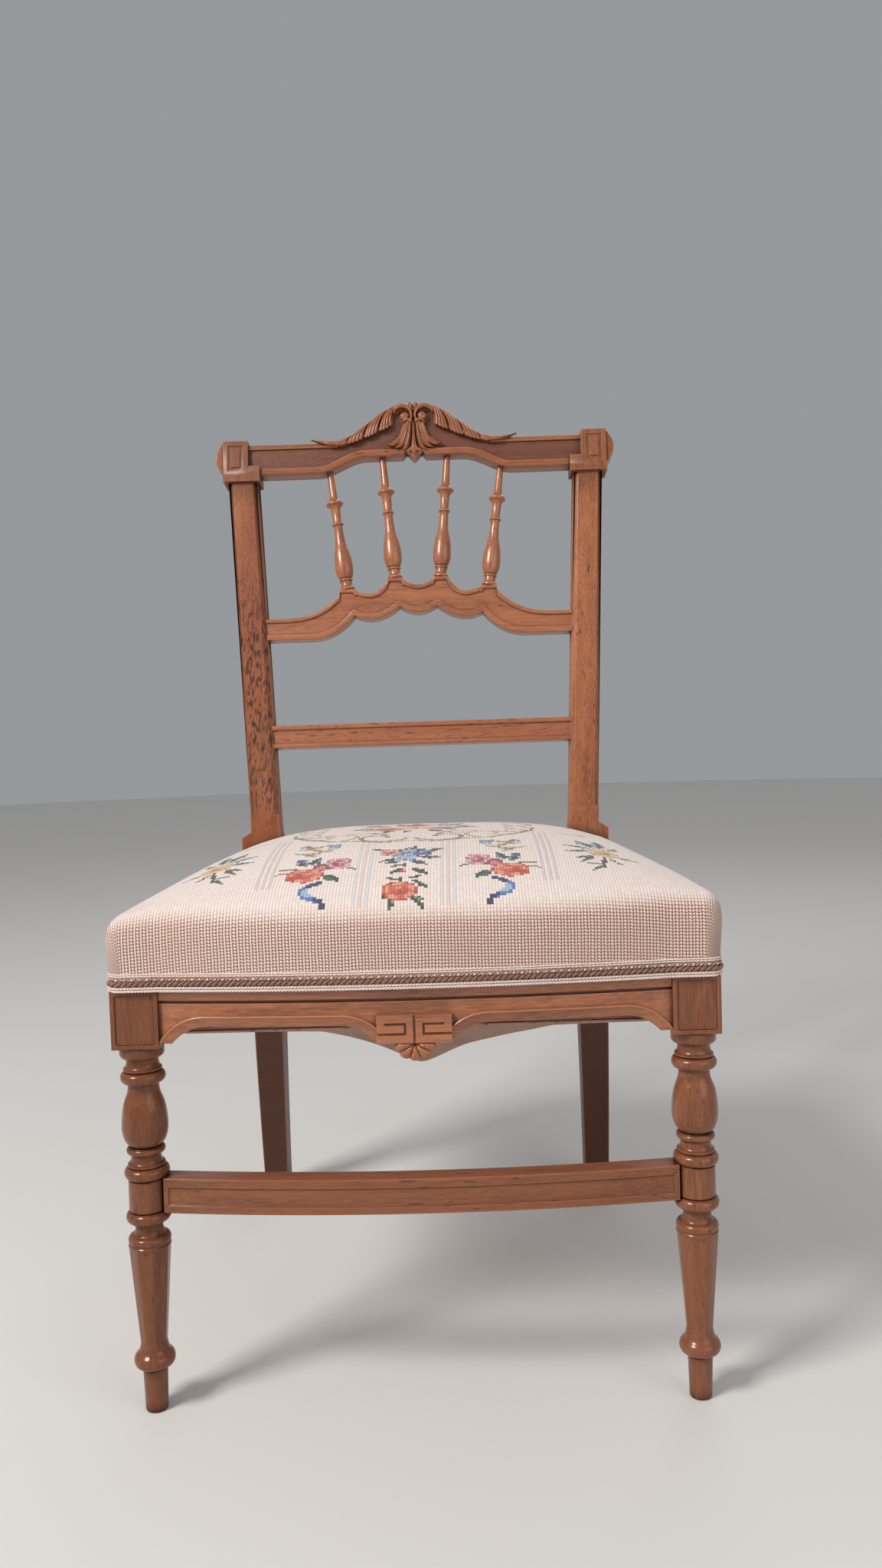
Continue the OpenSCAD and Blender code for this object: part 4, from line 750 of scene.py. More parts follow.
class CHAIR_OT_rear_legs(Operator):
    """Finishes the rear legs with their stiles and dies, and the ears"""
    bl_idname = "chair.rear_legs"
    bl_label = "Rear Legs"

    def execute(self, context):
        for word, fleck, warm, seed, aged in (("left", 2.2, 0.8, 5.0, 0.2),
                                              ("right", 0.2, 0.15, 9.0, 0.05)):
            # The 0.9 paints shade on the rear legs under the seat; the 0.3 darkens the head of the
            # back.
            wood = varnished_wood(f"Rear leg wood {word}", "Z", fleck, warm, seed, aged, 0.9, 0.3,
                                  gloss=0.1)
            from_solid(f"rear_leg_{word}", wood, width=0.00035, change=full_chamfers)
            ear = varnished_wood(f"Ear wood {word}", "Z", 0.3, 0.2, seed + 2, 0.3)
            from_solid(f"ear_{word}", ear)
        return {"FINISHED"}


class CHAIR_OT_seat_frame(Operator):
    """Finishes the side and rear rails, the stretcher, the corner blocks and their screws"""
    bl_idname = "chair.seat_frame"
    bl_label = "Seat Frame"

    def execute(self, context):
        from_solid("front_stretcher", varnished_wood("Stretcher wood", "X", 0.25, 0.3, 3.0, 0.42))
        for word, seed in (("left", 4.0), ("right", 6.0)):
            wood = varnished_wood(f"Side rail wood {word}", "Y", 0.2, 0.1, seed)
            from_solid(f"side_seat_rail_{word}", wood)
        from_solid("rear_seat_rail", varnished_wood("Rear rail wood", "X", 0.2, 0.1, 7.0))
        block = raw_wood("Corner block wood")
        for name in [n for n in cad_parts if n.startswith("corner_block_")]:
            if name != "corner_block_screws":
                from_solid(name, block, 0.0006)
        iron = old_iron("Screw iron")
        for name in ("corner_block_screws", "webbing_tacks"):
            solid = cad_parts[name]
            solid.data.materials.clear()
            solid.data.materials.append(iron)
        return {"FINISHED"}


# The back, in millimetres along the stiles from the shoulder
CREST_S = 385.15
CREST_H = 33
CREST_T = 20
CREST_END = 179.3
CREST_ARCH = 39
CREST_ARCH_X = 88
CREST_LIFT = 17
CREST_DROP = ((0, -3.2), (8, 5.2), (12.5, 0))
LIFT_X = 52
LIFT_START = CREST_END - 74


def crest_low(x):
    """Underside of the crest rail, with its pointed drop in the middle."""
    x = abs(x)
    for a, b in zip(CREST_DROP, CREST_DROP[1:]):
        if x < b[0]:
            return CREST_S + CREST_LIFT + lerp(a[1], b[1], (x - a[0]) / (b[0] - a[0]))
    if x < LIFT_X:
        return CREST_S + CREST_LIFT
    return CREST_S + CREST_LIFT * bump((LIFT_START - x) / (LIFT_START - LIFT_X))


def crest_high(x):
    """Top of the crest rail."""
    return CREST_S + CREST_H + CREST_ARCH * bump((CREST_ARCH_X - abs(x)) / (CREST_ARCH_X - 10))


def steepness(edge, x):
    """How much taller a border must be to keep its width where an outline slopes."""
    return min(1.7, math.hypot(1, (edge(x + 0.4) - edge(x - 0.4)) / 0.8))


def shaped_board(bm, stations, low, high, rows, place, sink=None, highlight_depth=None):
    """A board between two outlines. Each row of its section is held by the low (0) or the high
    (1) outline, or by a height of its own, with an offset from it and a depth from the front.
    Rows at the depth of the sunk field, and rows at highlight_depth for a painted highlight, are
    marked for the finish."""
    count = len(rows)
    marks, layer = [], bm.verts.layers.float.new("sunk")
    lines = [(low(x), high(x), steepness(low, x), steepness(high, x)) for x in stations]

    def at(t, q):
        i = round(t * (len(stations) - 1))
        hold, offset, depth = rows[round(q * count) % count]
        # Sunk rows are marked 1, and rows at highlight_depth are marked -1 for a painted highlight.
        marks.append(float(depth == sink) - float(depth == highlight_depth))
        bottom, top, low_slope, high_slope = lines[i]
        if hold > 1:
            return place(stations[i], depth, hold + offset)
        offset *= low_slope if hold < 0.5 else high_slope
        return place(stations[i], depth, lerp(bottom, top, hold) + offset)

    verts = mapped_grid(bm, len(stations) - 1, count, at)
    for vert, mark in zip(verts, marks):
        vert[layer] = mark
    welded(bm, verts)
    filled(bm)


def mirrored_stations(breaks, step):
    """Places across a board: even steps of about this size between the breaks."""
    half = [breaks[0]]
    for a, b in zip(breaks, breaks[1:]):
        count = max(1, round((b - a) / step))
        half += [lerp(a, b, i / count) for i in range(1, count + 1)]
    return [-x for x in reversed(half[1:])] + half


def moulded_section(thickness, low_border, high_border, sink, ease=1.1):
    """Section of a rail with rounded edges, raised borders and a sunk field."""
    quarter = ease * 0.3
    front = [
        (0, 0, ease), (0, quarter, quarter), (0, ease, 0), (0, low_border - 1.6, 0),
        (0, low_border - 0.7, 0.15), (0, low_border - 0.2, sink * 0.5), (0, low_border, sink),
        (0, low_border + 0.6, sink), (0.35, 0, sink), (0.7, 0, sink), (1, -high_border - 0.6, sink),
        (1, -high_border, sink), (1, -high_border + 0.2, sink * 0.5), (1, -high_border + 0.7, 0.15),
        (1, -high_border + 1.6, 0), (1, -ease, 0), (1, -quarter, quarter), (1, 0, ease)]
    rear = [
        (1, 0, thickness - ease), (1, -quarter, thickness - quarter), (1, -ease, thickness),
        (0.6, 0, thickness), (0.3, 0, thickness), (0, ease, thickness),
        (0, quarter, thickness - quarter), (0, 0, thickness - ease)]
    return front + rear


def tenon(bm, low, high):
    """A square tenon between two corners on the back."""
    for vert in bmesh.ops.create_cube(bm, size=1)["verts"]:
        vert.co = back(*(lerp(a, b, c + 0.5) for a, b, c in zip(low, high, vert.co)))


# Leaf swags of the crest: they start beside the scrolls and end in a tip over the top edge
SWAG_START = 22
SWAG_END = 110
TIP_X = 84
SWAG_LOBES = (0.0, 0.182, 0.364, 0.568, 1.0)


def tip_share(x):
    """0 up to where the tip of a swag starts to rise, and 1 at its end."""
    return clamp((x - TIP_X) / (SWAG_END - TIP_X))


def swag_top(x):
    """Upper edge of a swag."""
    return crest_high(x) + 0.9 + 3.2 * tip_share(x) ** 1.6


def swag_lean(t):
    """How much nearer to the middle the flutes start at the top edge."""
    return (4 + 8 * bump(t / 0.22)) * (1 - t) ** 0.7


def swag_low(x):
    """Lower edge of a swag, before its lobes hang below it."""
    rise = 21.5 * clamp((78 - x) / 56) ** 1.3
    return CREST_S + 29.5 + rise + 7.4 * tip_share(x) ** 1.8


def swag(bm, side, relief, flutes):
    """One leaf swag: lobes parted by deep valleys and cut by fine flutes."""

    def at(t, q):
        lobe = max(i for i, start in enumerate(SWAG_LOBES[:-1]) if t >= start - 1e-9)
        start, end = SWAG_LOBES[lobe], SWAG_LOBES[lobe + 1]
        share = (t - start) / (end - start)
        last = lobe == len(SWAG_LOBES) - 2
        count = flutes - 1 if last else flutes
        swell = math.sin(math.pi * clamp(share)) ** 0.45
        flute = abs(math.sin(math.pi * count * share)) ** 0.6
        fade = 1 - 0.6 * t
        x_top = lerp(SWAG_START, SWAG_END, t) - swag_lean(t)
        x_low = lerp(SWAG_START, SWAG_END, t) - (share - 0.5) * fade
        end_fade = 1 - clamp((t - 0.9) / 0.1)
        hang = (2.6 * swell + 1.5 * flute - 2.4) * fade * end_fade
        top = Vector((x_top, swag_top(x_top)))
        low = Vector((x_low, swag_low(x_low) - hang))
        bend = Vector((2.2 * math.sin(math.pi * q) * fade, 0))
        point = top.lerp(low, q) + bend
        roll = math.sin(math.pi * (0.1 + 0.62 * q ** 0.8)) * relief
        cut = 0.5 + 0.5 * math.sin(math.pi * clamp(q * 0.9 + 0.12))
        groove = (1 - flute) * 1.5 * cut + (1 - swell) * 2.9 * cut
        height = 0.8 + roll * (0.72 + 0.28 * swell) - groove * lerp(1, 0.55, t)
        height *= lerp(1, 0.6, clamp((t - 0.8) / 0.2))
        return back(side * point.x, -max(0.25, height), point.y)

    verts = mapped_grid(bm, 240, 26, at)
    skirted(bm, verts, back(0, 5, 0) - back(0, 0, 0))


def blade(bm, spine, widths, heights, flutes=1, steps=28, across=16, flip=1):
    """A carved leaf or ridge along a spine of points across and up the back."""
    points = [Vector(p) for p in spine]

    def along(values, t):
        """The value at a share of the spine, on a smooth curve through all of them."""
        place = t * (len(values) - 1)
        i = min(int(place), len(values) - 2)
        before, after = values[max(i - 1, 0)], values[min(i + 2, len(values) - 1)]
        a, b, f = values[i], values[i + 1], place - i
        m0, m1 = (b - before) * 0.5, (after - a) * 0.5
        return ((2 * f ** 3 - 3 * f ** 2 + 1) * a + (f ** 3 - 2 * f ** 2 + f) * m0
                + (3 * f ** 2 - 2 * f ** 3) * b + (f ** 3 - f ** 2) * m1)

    def at(t, q):
        here = along(points, t)
        run = along(points, min(1, t + 0.02)) - along(points, max(0, t - 0.02))
        normal = Vector((-run.y, run.x)).normalized()
        half = max(0.15, along(widths, t)) / 2
        edge = 2 * q - 1
        dome = (1 - edge * edge) ** 0.5 if abs(edge) < 1 else 0
        ridge = abs(math.cos(math.pi * flutes * (q - 0.5))) ** 0.7 if flutes > 1 else 1
        height = along(heights, t) * (0.25 + 0.75 * dome * (0.62 + 0.38 * ridge))
        place = here + normal * half * edge
        return back(flip * place.x, -height, place.y)

    verts = mapped_grid(bm, steps, across, at)
    skirted(bm, verts, back(0, 6, 0) - back(0, 0, 0))


def boss(bm, x, s, radius, height, rim):
    """A round boss with a dimple, as the eye of a scroll."""

    def at(t, q):
        a = 2 * math.pi * t
        r = radius * (1 - q)
        share = r / radius
        dome = (1 - share ** 3.2) ** 0.5 if share < 1 else 0
        ring = rim * math.exp(-((share - 0.45) / 0.12) ** 2)
        rise = height * (0.35 + 0.65 * dome) - ring
        return back(x + r * math.cos(a), -rise, s + r * math.sin(a))

    verts = mapped_grid(bm, 32, 12, at)
    skirted(bm, welded(bm, verts), back(0, 6, 0) - back(0, 0, 0))


SCROLL_X = 9.2
SCROLL_S = CREST_S + 59.4


def scroll(bm, side):
    """The scroll at the head of a swag: a hood that curls round a boss."""
    hood, turns = [], 16
    for i in range(turns + 1):
        t = i / turns
        a = math.radians(lerp(18, 262, t))
        r = lerp(12.6, 7.3, bump(t / 0.62))
        hood.append((SCROLL_X + r * math.cos(a), SCROLL_S + r * math.sin(a) * 1.06))
    widths = [1.5, 4.5, 5.6, 6.0, 6.0, 5.8, 5.4, 4.8, 4.2, 3.7, 3.3, 3.0, 2.8, 2.7, 2.5, 2.0, 0.8]
    heights = [2.6, 4.2, 5.0, 5.4, 5.5, 5.5, 5.5, 5.4, 5.3, 5.2, 5.2, 5.1, 5.0, 4.8, 4.6, 4.2, 3.4]
    blade(bm, hood, widths, heights, flip=side, steps=56, across=14)
    boss(bm, side * (SCROLL_X + 0.2), SCROLL_S - 0.4, radius=4.9, height=5.4, rim=0.5)


# Leaves that fall from the scrolls, for the right half: spine, widths, heights and flutes
DROP_LEAVES = [
    ([(8.5, 438), (11, 429), (14, 420.5), (19.5, 415.5), (25, 413.2), (30, 414.4)],
     [4.6, 5.4, 6.4, 6.6, 4.0, 0.5], [2.6, 3.4, 3.6, 4.0, 4.2, 4.2], 3),
    ([(6, 438), (7.8, 429), (10.4, 419), (14, 412.6), (20.5, 409.6)],
     [4.6, 5.4, 6.0, 5.2, 0.5], [3.2, 4.4, 4.4, 4.2, 3.8], 2),
    ([(3.9, 438), (4.6, 428), (6, 418), (8.6, 410.4), (13, 407.4)],
     [4.0, 4.4, 5.0, 4.4, 0.5], [3.8, 5.0, 5.0, 4.4, 3.4], 2),
]


def drop_leaves(bm):
    """The fluted leaves under the scrolls, their two rolled caps, and the middle leaf."""
    for side in (-1, 1):
        for spine, widths, heights, flutes in DROP_LEAVES:
            blade(bm, spine, widths, heights, flutes=flutes, flip=side)
        blade(bm, [(1.4, 437.6), (4.6, 439.6), (8.6, 439.6), (12.2, 437.2)],
              [2.4, 3.6, 3.6, 1.2], [5.2, 6.0, 5.8, 4.4], flip=side, steps=16, across=10)
        blade(bm, [(2.5, 408.5), (5.4, 406.2), (8.2, 405.8)], [3.4, 3.6, 0.6],
              [3.6, 4.0, 3.0], flip=side, steps=12, across=10)
    blade(bm, [(0, 437), (0, 427), (0, 416), (0, 407), (0, 400.3)], [2.4, 3.2, 5.0, 7.6, 0.6],
          [4.6, 5.2, 5.4, 5.2, 3.4], flutes=3)


def tuft(bm):
    """The small leaf tuft on top of the crest, as deep as half of the rail."""
    top = CREST_S + CREST_H + CREST_ARCH
    for x, lean, height, width in ((-7, -3.6, 4.4, 6.5), (7, 3.6, 4.4, 6.5), (-2.6, -1, 6.4, 5.5),
                                   (2.6, 1, 6.4, 5.5)):
        for vert in bmesh.ops.create_icosphere(bm, subdivisions=3, radius=1)["verts"]:
            wave = 1 + 0.16 * noise.noise(vert.co * 2.6 + Vector((x, 0, 0)))
            vert.co = back(x + lean * (vert.co.z + 0.3) * 0.5 + vert.co.x * width / 2 * wave,
                           3 + vert.co.y * 6.5 * wave, top - 1.5 + vert.co.z * height * wave)


class CHAIR_OT_crest(Operator):
    """Carves the crest rail: moulded board, leaf swags, scrolls, falling leaves and tuft"""
    bl_idname = "chair.crest"
    bl_label = "Crest Rail"

    def execute(self, context):
        look = settings("carving")
        bm = bmesh.new()
        breaks = [x for x, _ in CREST_DROP] + [LIFT_X, CREST_ARCH_X, LIFT_START, CREST_END]
        stations = mirrored_stations(breaks, 1.7)
        # Rows at depth 0.15, the inner edges of the borders, get a painted highlight.
        shaped_board(bm, stations, crest_low, crest_high,
                     moulded_section(CREST_T, 7.4, 5.0, 2.4), back, 2.4, 0.15)
        for side in (-1, 1):
            tenon(bm, (side * (CREST_END - 1), 5, CREST_S + 5),
                  (side * (CREST_END + 12), CREST_T - 5, CREST_S + CREST_H - 5))
            swag(bm, side, look.relief / MM, look.flutes)
            scroll(bm, side)
        drop_leaves(bm)
        tuft(bm)
        wood = varnished_wood("Crest wood", "X", 0.15, 0.3, 11.0, 0.22, field=0.7, gloss=0.8)
        finished("crest_rail_carved", bm, wood, ["crest_rail"], sharp=60)
        return {"FINISHED"}


SCALLOP_S = 204
BACK_RAIL_X = 162
FLAT_X = 118


def scallop_low(x):
    """Underside of the scalloped rail: a long curve, then three scallops with cusps."""
    x = abs(x)
    if x >= FLAT_X:
        return SCALLOP_S
    if x >= 68.25:
        return SCALLOP_S + 24.3 * ((FLAT_X - x) / 49.75) ** 2.5
    if x >= 51:
        return SCALLOP_S + 19.8 + 4.5 * ((x - 51) / 17.25) ** 2
    if x >= 20:
        return SCALLOP_S + 19.8 + 13.2 * ((51 - x) / 31) ** 2
    return SCALLOP_S + 26 + 7 * (x / 20) ** 2


def scallop_high(x):
    """Top of the scalloped rail, with a pad under each spindle."""
    x = abs(x)
    if x >= 150:
        return SCALLOP_S + 23
    if x >= 84.25:
        return SCALLOP_S + 23 + 24.5 * ((150 - x) / 65.75) ** 3
    if x >= 68:
        return SCALLOP_S + 53.5
    if x >= 51:
        return SCALLOP_S + 47.5 + 5 * ((x - 51) / 16.75) ** 2
    if x >= 32.5:
        return SCALLOP_S + 47.5 + 14 * ((51 - x) / 18.25) ** 2
    if x >= 16.5:
        return SCALLOP_S + 64.5
    return SCALLOP_S + 55.8 + 6.7 * (x / 16.25) ** 2


SCALLOP_BREAKS = [0, 16.25, 16.75, 20, 32.25, 32.75, 51, 67.75, 68.25, 83.75, 84.25, FLAT_X, 150,
                  BACK_RAIL_X]
LOWER_S = 88
LOWER_H = 24
BACK_RAIL_T = 17
BACK_RAIL_IN = 3


def between_stiles(x, depth, s):
    """A point of a back rail, whose ends follow the slope of the stiles."""
    end = STILE_IN + STILE_LEAN * s
    share = clamp((abs(x) - FLAT_X) / (BACK_RAIL_X - FLAT_X))
    x += math.copysign((end - BACK_RAIL_X) * share, x)
    return back(x, BACK_RAIL_IN + depth, s)


class CHAIR_OT_back_rails(Operator):
    """Shapes the scalloped rail and the lower rail of the back, with their sunk fields"""
    bl_idname = "chair.back_rails"
    bl_label = "Back Rails"

    def execute(self, context):
        bm = bmesh.new()
        shaped_board(bm, mirrored_stations(SCALLOP_BREAKS, 1.8), scallop_low, scallop_high,
                     moulded_section(BACK_RAIL_T, 6.4, 4.6, 1.9, 0.9), between_stiles)
        wood = varnished_wood("Scalloped rail wood", "X", 0.15, 0.2, 13.0)
        finished("scalloped_rail_shaped", bm, wood, ["scalloped_rail"], sharp=50)
        bm = bmesh.new()
        shaped_board(bm, mirrored_stations([0, FLAT_X, BACK_RAIL_X], 6), lambda x: LOWER_S,
                     lambda x: LOWER_S + LOWER_H, moulded_section(BACK_RAIL_T, 4.6, 5.2, 1.6, 0.9),
                     between_stiles)
        wood = varnished_wood("Lower rail wood", "X", 0.3, 0.3, 15.0)
        finished("lower_back_rail_shaped", bm, wood, ["lower_back_rail"],
                 sharp=50)
        return {"FINISHED"}


SPINDLE_FEET = ((-76, 53.5), (-24.5, 64.5), (24.5, 64.5), (76, 53.5))
SPINDLE_HEADS = (-92, -35, 35, 92)
SPINDLE_DEPTH = 10


def spindle_profile(length):
    """Radii and heights of one spindle, between its pegs."""
    return [
        (0, -8), (3, -8), (3, 0), (7.8, 0), (8.2, 0.4), (8.2, 1.9), (7.7, 2.5),
        *curve((7.4, 2.7), (5.7, 3.4), (6.0, 9.2), 7), *bead(6.0, 1.3, 9.6, 12.2, 6),
        *curve((6.3, 12.5), (9.9, 16), (9.7, 26.5), 12),
        *curve((9.7, 26.5), (9.5, 38), (6.7, 47.5), 12),
        *curve((6.7, 47.5), (5.0, 53.5), (4.7, 66), 8),
        (4.7, 71.6), *bead(4.8, 1.6, 71.8, 74.6, 6), (4.6, 75), (5.0, 89.5),
        *curve((5.1, 90), (5.7, 93.0), (8.4, 94.6), 6), *bead(8.3, 1.0, 94.9, 97.3, 5),
        *curve((8.4, 97.6), (5.6, 99.2), (4.6, 103), 6), (4.3, 105),
        (3.5, length - 0.3), (3, length - 0.3), (3, length + 8), (0, length + 8)]


class CHAIR_OT_spindles(Operator):
    """Turns the four fanned spindles of the back"""
    bl_idname = "chair.spindles"
    bl_label = "Spindles"

    def execute(self, context):
        for i, ((x, s), head_x) in enumerate(zip(SPINDLE_FEET, SPINDLE_HEADS)):
            foot = Vector((x, SPINDLE_DEPTH, SCALLOP_S + s))
            reach = abs(head_x) + 3
            lift = CREST_LIFT * clamp((LIFT_START - reach) / (LIFT_START - LIFT_X)) ** 1.35
            head = Vector((head_x, SPINDLE_DEPTH, CREST_S + lift))
            run = head - foot
            lean = Matrix.Rotation(math.atan2(run.x, run.z), 4, "Y")
            bm = bmesh.new()
            turned(bm, spindle_profile(run.length), BACK @ Matrix.Translation(foot * MM) @ lean, 40)
            wood = varnished_wood(f"Spindle wood {i + 1}", "Z", 0.1, 0.15, 17.0 + i)
            finished(f"spindle_{i + 1}_turned", bm, wood, [f"spindle_{i + 1}"])
        return {"FINISHED"}


def bow(x):
    """How far the front rail stands forward of the leg blocks."""
    r = (BOW_HALF ** 2 + RAIL_BOW ** 2) / (2 * RAIL_BOW)
    return RAIL_BOW - r + math.sqrt(r * r - min(abs(x), BOW_HALF) ** 2)


KEY_Z = RAIL_Z - 8.3
KEY_W = 54
KEY_H = 20.8
ARCH_Z = RAIL_Z + 4.3
KEY_PROUD = 2.0
KEY_HOOK = [(20.5, 13.9), (6.6, 13.9), (6.6, 6.9), (28.5, 6.9)]
FRONT_FACE = -HALF_BLOCK + 1.5
FIELD_TOP = RAIL_TOP - 28.0
BORDER = 8.6
ARCH_END = BOW_HALF - 8.55
ARCH_RISE_W = 27
ARCH_FALL_W = 26
REBATE_DEPTH = 8.5


def apron_low(x):
    """Underside of the front rail: two arches that start from the key block."""
    x = abs(x)
    if x < KEY_W / 2:
        return KEY_Z
    rise = min((x - KEY_W / 2) / ARCH_RISE_W, (ARCH_END - x) / ARCH_FALL_W)
    return ARCH_Z - (ARCH_Z - KEY_Z - 0.5) * (1 - clamp(rise)) ** 2.3


def border_line(x):
    """The arches' outline moved up by the width of the border, measured square to it."""
    high = apron_low(x) + 2.6
    for i in range(-24, 25):
        near = x + BORDER * i / 24
        if KEY_W / 2 <= abs(near) <= ARCH_END:
            high = max(high, apron_low(near) + math.sqrt(max(0, BORDER ** 2 - (x - near) ** 2)))
    return high


def on_front_rail(x, depth, z):
    """A point of the front rail: its face is bowed and its inner face is straight."""
    inner = depth > REBATE_DEPTH - 0.5
    y = RAIL_IN_Y - RAIL_T + depth if inner else FRONT_FACE - bow(x) + depth
    return spot(x, y, z)


def hook_distance(x, z):
    """Distance from a point of the key block to its carved lines and to its middle line."""
    here, far = Vector((abs(x), z)), abs(x)
    for a, b in zip(KEY_HOOK, KEY_HOOK[1:]):
        a, b = Vector(a), Vector(b)
        t = clamp((here - a).dot(b - a) / (b - a).length_squared)
        far = min(far, (here - a.lerp(b, t)).length)
    return far


def key_block(bm):
    """The raised block in the middle of the front rail, with squared hooks cut in it."""

    def at(t, q):
        x, z = (t - 0.5) * KEY_W, q * KEY_H
        cut = 1.4 * clamp((0.95 - hook_distance(x, z)) / 0.5)
        rim = min(KEY_W / 2 - abs(x), z, KEY_H - z)
        ease = 0.8 * (1 - math.sqrt(1 - (1 - min(rim, 0.8) / 0.8) ** 2))
        return spot(x, FRONT_FACE - RAIL_BOW - KEY_PROUD + max(cut, ease), KEY_Z + z)

    verts = mapped_grid(bm, 128, 50, at)
    skirted(bm, verts, (0, 4 * MM, 0))


class CHAIR_OT_front_rail(Operator):
    """Shapes the bowed front rail with its arches, sunk field, bead and key block"""
    bl_idname = "chair.front_rail"
    bl_label = "Front Rail"

    def execute(self, context):
        bm = bmesh.new()
        rows = [
            (0, 0, 2.9), (0, 0.3, 2.1), (0, 1, 1.7), (1, -2.4, 0.5), (1, -2.0, 0.25),
            (1, -1.5, -0.2), (1, -0.8, -0.5), (1, -0.2, -0.1), (1, 0.2, 1.3), (1, 0.8, 1.5),
            (FIELD_TOP - 5, 0, 1.5), (FIELD_TOP - 2.2, 0, 1.5), (FIELD_TOP - 2.0, 0, 3.2),
            (FIELD_TOP - 0.2, 0, 3.2), (FIELD_TOP, 0, 0.7), (FIELD_TOP + 0.7, 0, 0),
            (RAIL_TOP, 0, 0), (RAIL_TOP, 0, RAIL_T), (RAIL_Z + 20, 0, RAIL_T),
            (RAIL_Z, 0, RAIL_T), (RAIL_Z, 0, REBATE_DEPTH), (0, 0, REBATE_DEPTH)]
        breaks = [0, KEY_W / 2, KEY_W / 2 + 0.6, KEY_W / 2 + ARCH_RISE_W,
                  ARCH_END - ARCH_FALL_W, ARCH_END, BOW_HALF]
        # The top row of the bead, at depth -0.5, gets a painted highlight.
        shaped_board(bm, mirrored_stations(breaks, 1.1), apron_low, border_line, rows,
                     on_front_rail, highlight_depth=-0.5)
        key_block(bm)
        wood = varnished_wood("Front rail wood", "X", 0.15, 0.1, 2.0, field=0.1)
        finished("front_seat_rail_shaped", bm, wood, ["front_seat_rail"],
                 sharp=45)
        return {"FINISHED"}


SHELL_LOBES = 5
SHELL_W = 14.2
SHELL_H = 11.6


class CHAIR_OT_shell(Operator):
    """Carves the shell that hangs under the key block"""
    bl_idname = "chair.shell"
    bl_label = "Shell Pendant"

    def execute(self, context):
        face = FRONT_FACE - RAIL_BOW

        def at(t, q):
            a = lerp(-90, 90, t)
            lobe = abs(math.cos(math.radians(a) * SHELL_LOBES * 0.98)) ** 0.55
            reach = (0.94 + 0.06 * lobe) * q
            dome = math.sin(math.pi * clamp(0.15 + 0.78 * q)) ** 0.6
            height = 1.0 + 4.0 * dome * (0.6 + 0.4 * lobe) * clamp(q * 3)
            return spot((SHELL_W + 0.8 * lobe) * reach * math.sin(math.radians(a)),
                        face + 2.4 - height,
                        KEY_Z - 0.1 - (SHELL_H + 1.0 * lobe) * reach * math.cos(math.radians(a)))

        bm = bmesh.new()
        verts = mapped_grid(bm, 140, 20, at)
        skirted(bm, welded(bm, verts), (0, 7 * MM, 0))
        filled(bm)
        wood = varnished_wood("Pendant wood", "Z", 0.1, 0.1, 21.0)
        finished("pendant_carved", bm, wood, ["shell_pendant"], sharp=60)
        return {"FINISHED"}


def half_width(y):
    """Half width of the seat at a depth, over the rails."""
    return lerp(HALF_W, REAR_OUT, clamp(y / SEAT_D))


def settled(x):
    """How far the stuffing has settled: lower on the left, fuller on the right."""
    return SETTLED * clamp(x / HALF_W, -1, 1) ** 3


def seat_top(x, y):
    """Height of the crowned top of the seat."""
    across = min(1, abs(x) / half_width(y))
    ahead = y < CENTRE_Y
    reach = CENTRE_Y + HALF_BLOCK + RAIL_BOW if ahead else REAR_FACE - CENTRE_Y
    depth = min(1, abs(y - CENTRE_Y) / reach)
    edge = EDGE_H + (1.5 if ahead else 1.5 + 5 * depth)
    along = 1 - depth ** 3 if ahead else 1 - 0.6 * depth ** 2
    crown = (CROWN - edge) * (1 - across ** 3.6) * along
    return RAIL_TOP + edge + crown + settled(x)


COVER_OUT = 1.2
HEM_OUT = 0.3
EDGE_ROUND = 11.0
NOTCH_X = REAR_IN - 0.6
NOTCH_Y = SEAT_D - 0.6
TUCK = 24.0


def over_edge(x, y):
    """Where a point of the flat cover comes to lie once it is pulled down over the edges."""
    side = abs(x) - half_width(y) - COVER_OUT + EDGE_ROUND
    front = -y - HALF_BLOCK - max(0.0, bow(x)) - COVER_OUT + EDGE_ROUND
    rear = y - REAR_FACE - COVER_OUT + EDGE_ROUND
    end, facing = (front, -1) if front > rear else (rear, 1)
    a, b = max(0.0, side), max(0.0, end)
    reach = math.hypot(a, b)
    if reach == 0:
        return Vector((x, y, seat_top(x, y) + COVER_OUT))
    out = Vector((math.copysign(a, x) / reach, facing * b / reach))
    turn = min(reach / EDGE_ROUND, math.pi / 2)
    straight = reach - turn * EDGE_ROUND
    drop = EDGE_ROUND * (1 - math.cos(turn)) + straight
    plan = Vector((x, y)) + out * (EDGE_ROUND * math.sin(turn) - reach)
    height = max(HEM_Z + 0.5, seat_top(*plan) + COVER_OUT - drop)
    share = clamp(drop / (EDGE_H + LAP + 2))
    swell = SWELL * 0.9 * bump(share / 0.4) * (1 - share) ** 0.7
    plan += out * (swell - (COVER_OUT - HEM_OUT) * share)
    return Vector((*plan, height))


def cover_point(x, y):
    """A point of the cover, which is also cut and tucked down round the rear legs."""
    inward, behind = abs(x) - NOTCH_X, y - NOTCH_Y
    if inward <= 0 or behind <= 0:
        return over_edge(x, y)
    if inward < behind:
        held = over_edge(math.copysign(NOTCH_X, x), y)
        return held - Vector((0, 0, min(inward, TUCK)))
    held = over_edge(x, NOTCH_Y)
    return held - Vector((0, 0, min(behind, TUCK)))


def cover_kept(x, y, pitch):
    """Whether the cell of the flat cover round x, y is kept."""
    inward, behind = abs(x) - NOTCH_X, y - NOTCH_Y
    if inward <= 0 or behind <= 0:
        return True
    if abs(x) > REAR_OUT - 2 or y > REAR_FACE - 2:
        return False
    return min(inward, behind) < TUCK and abs(inward - behind) > pitch * 0.75


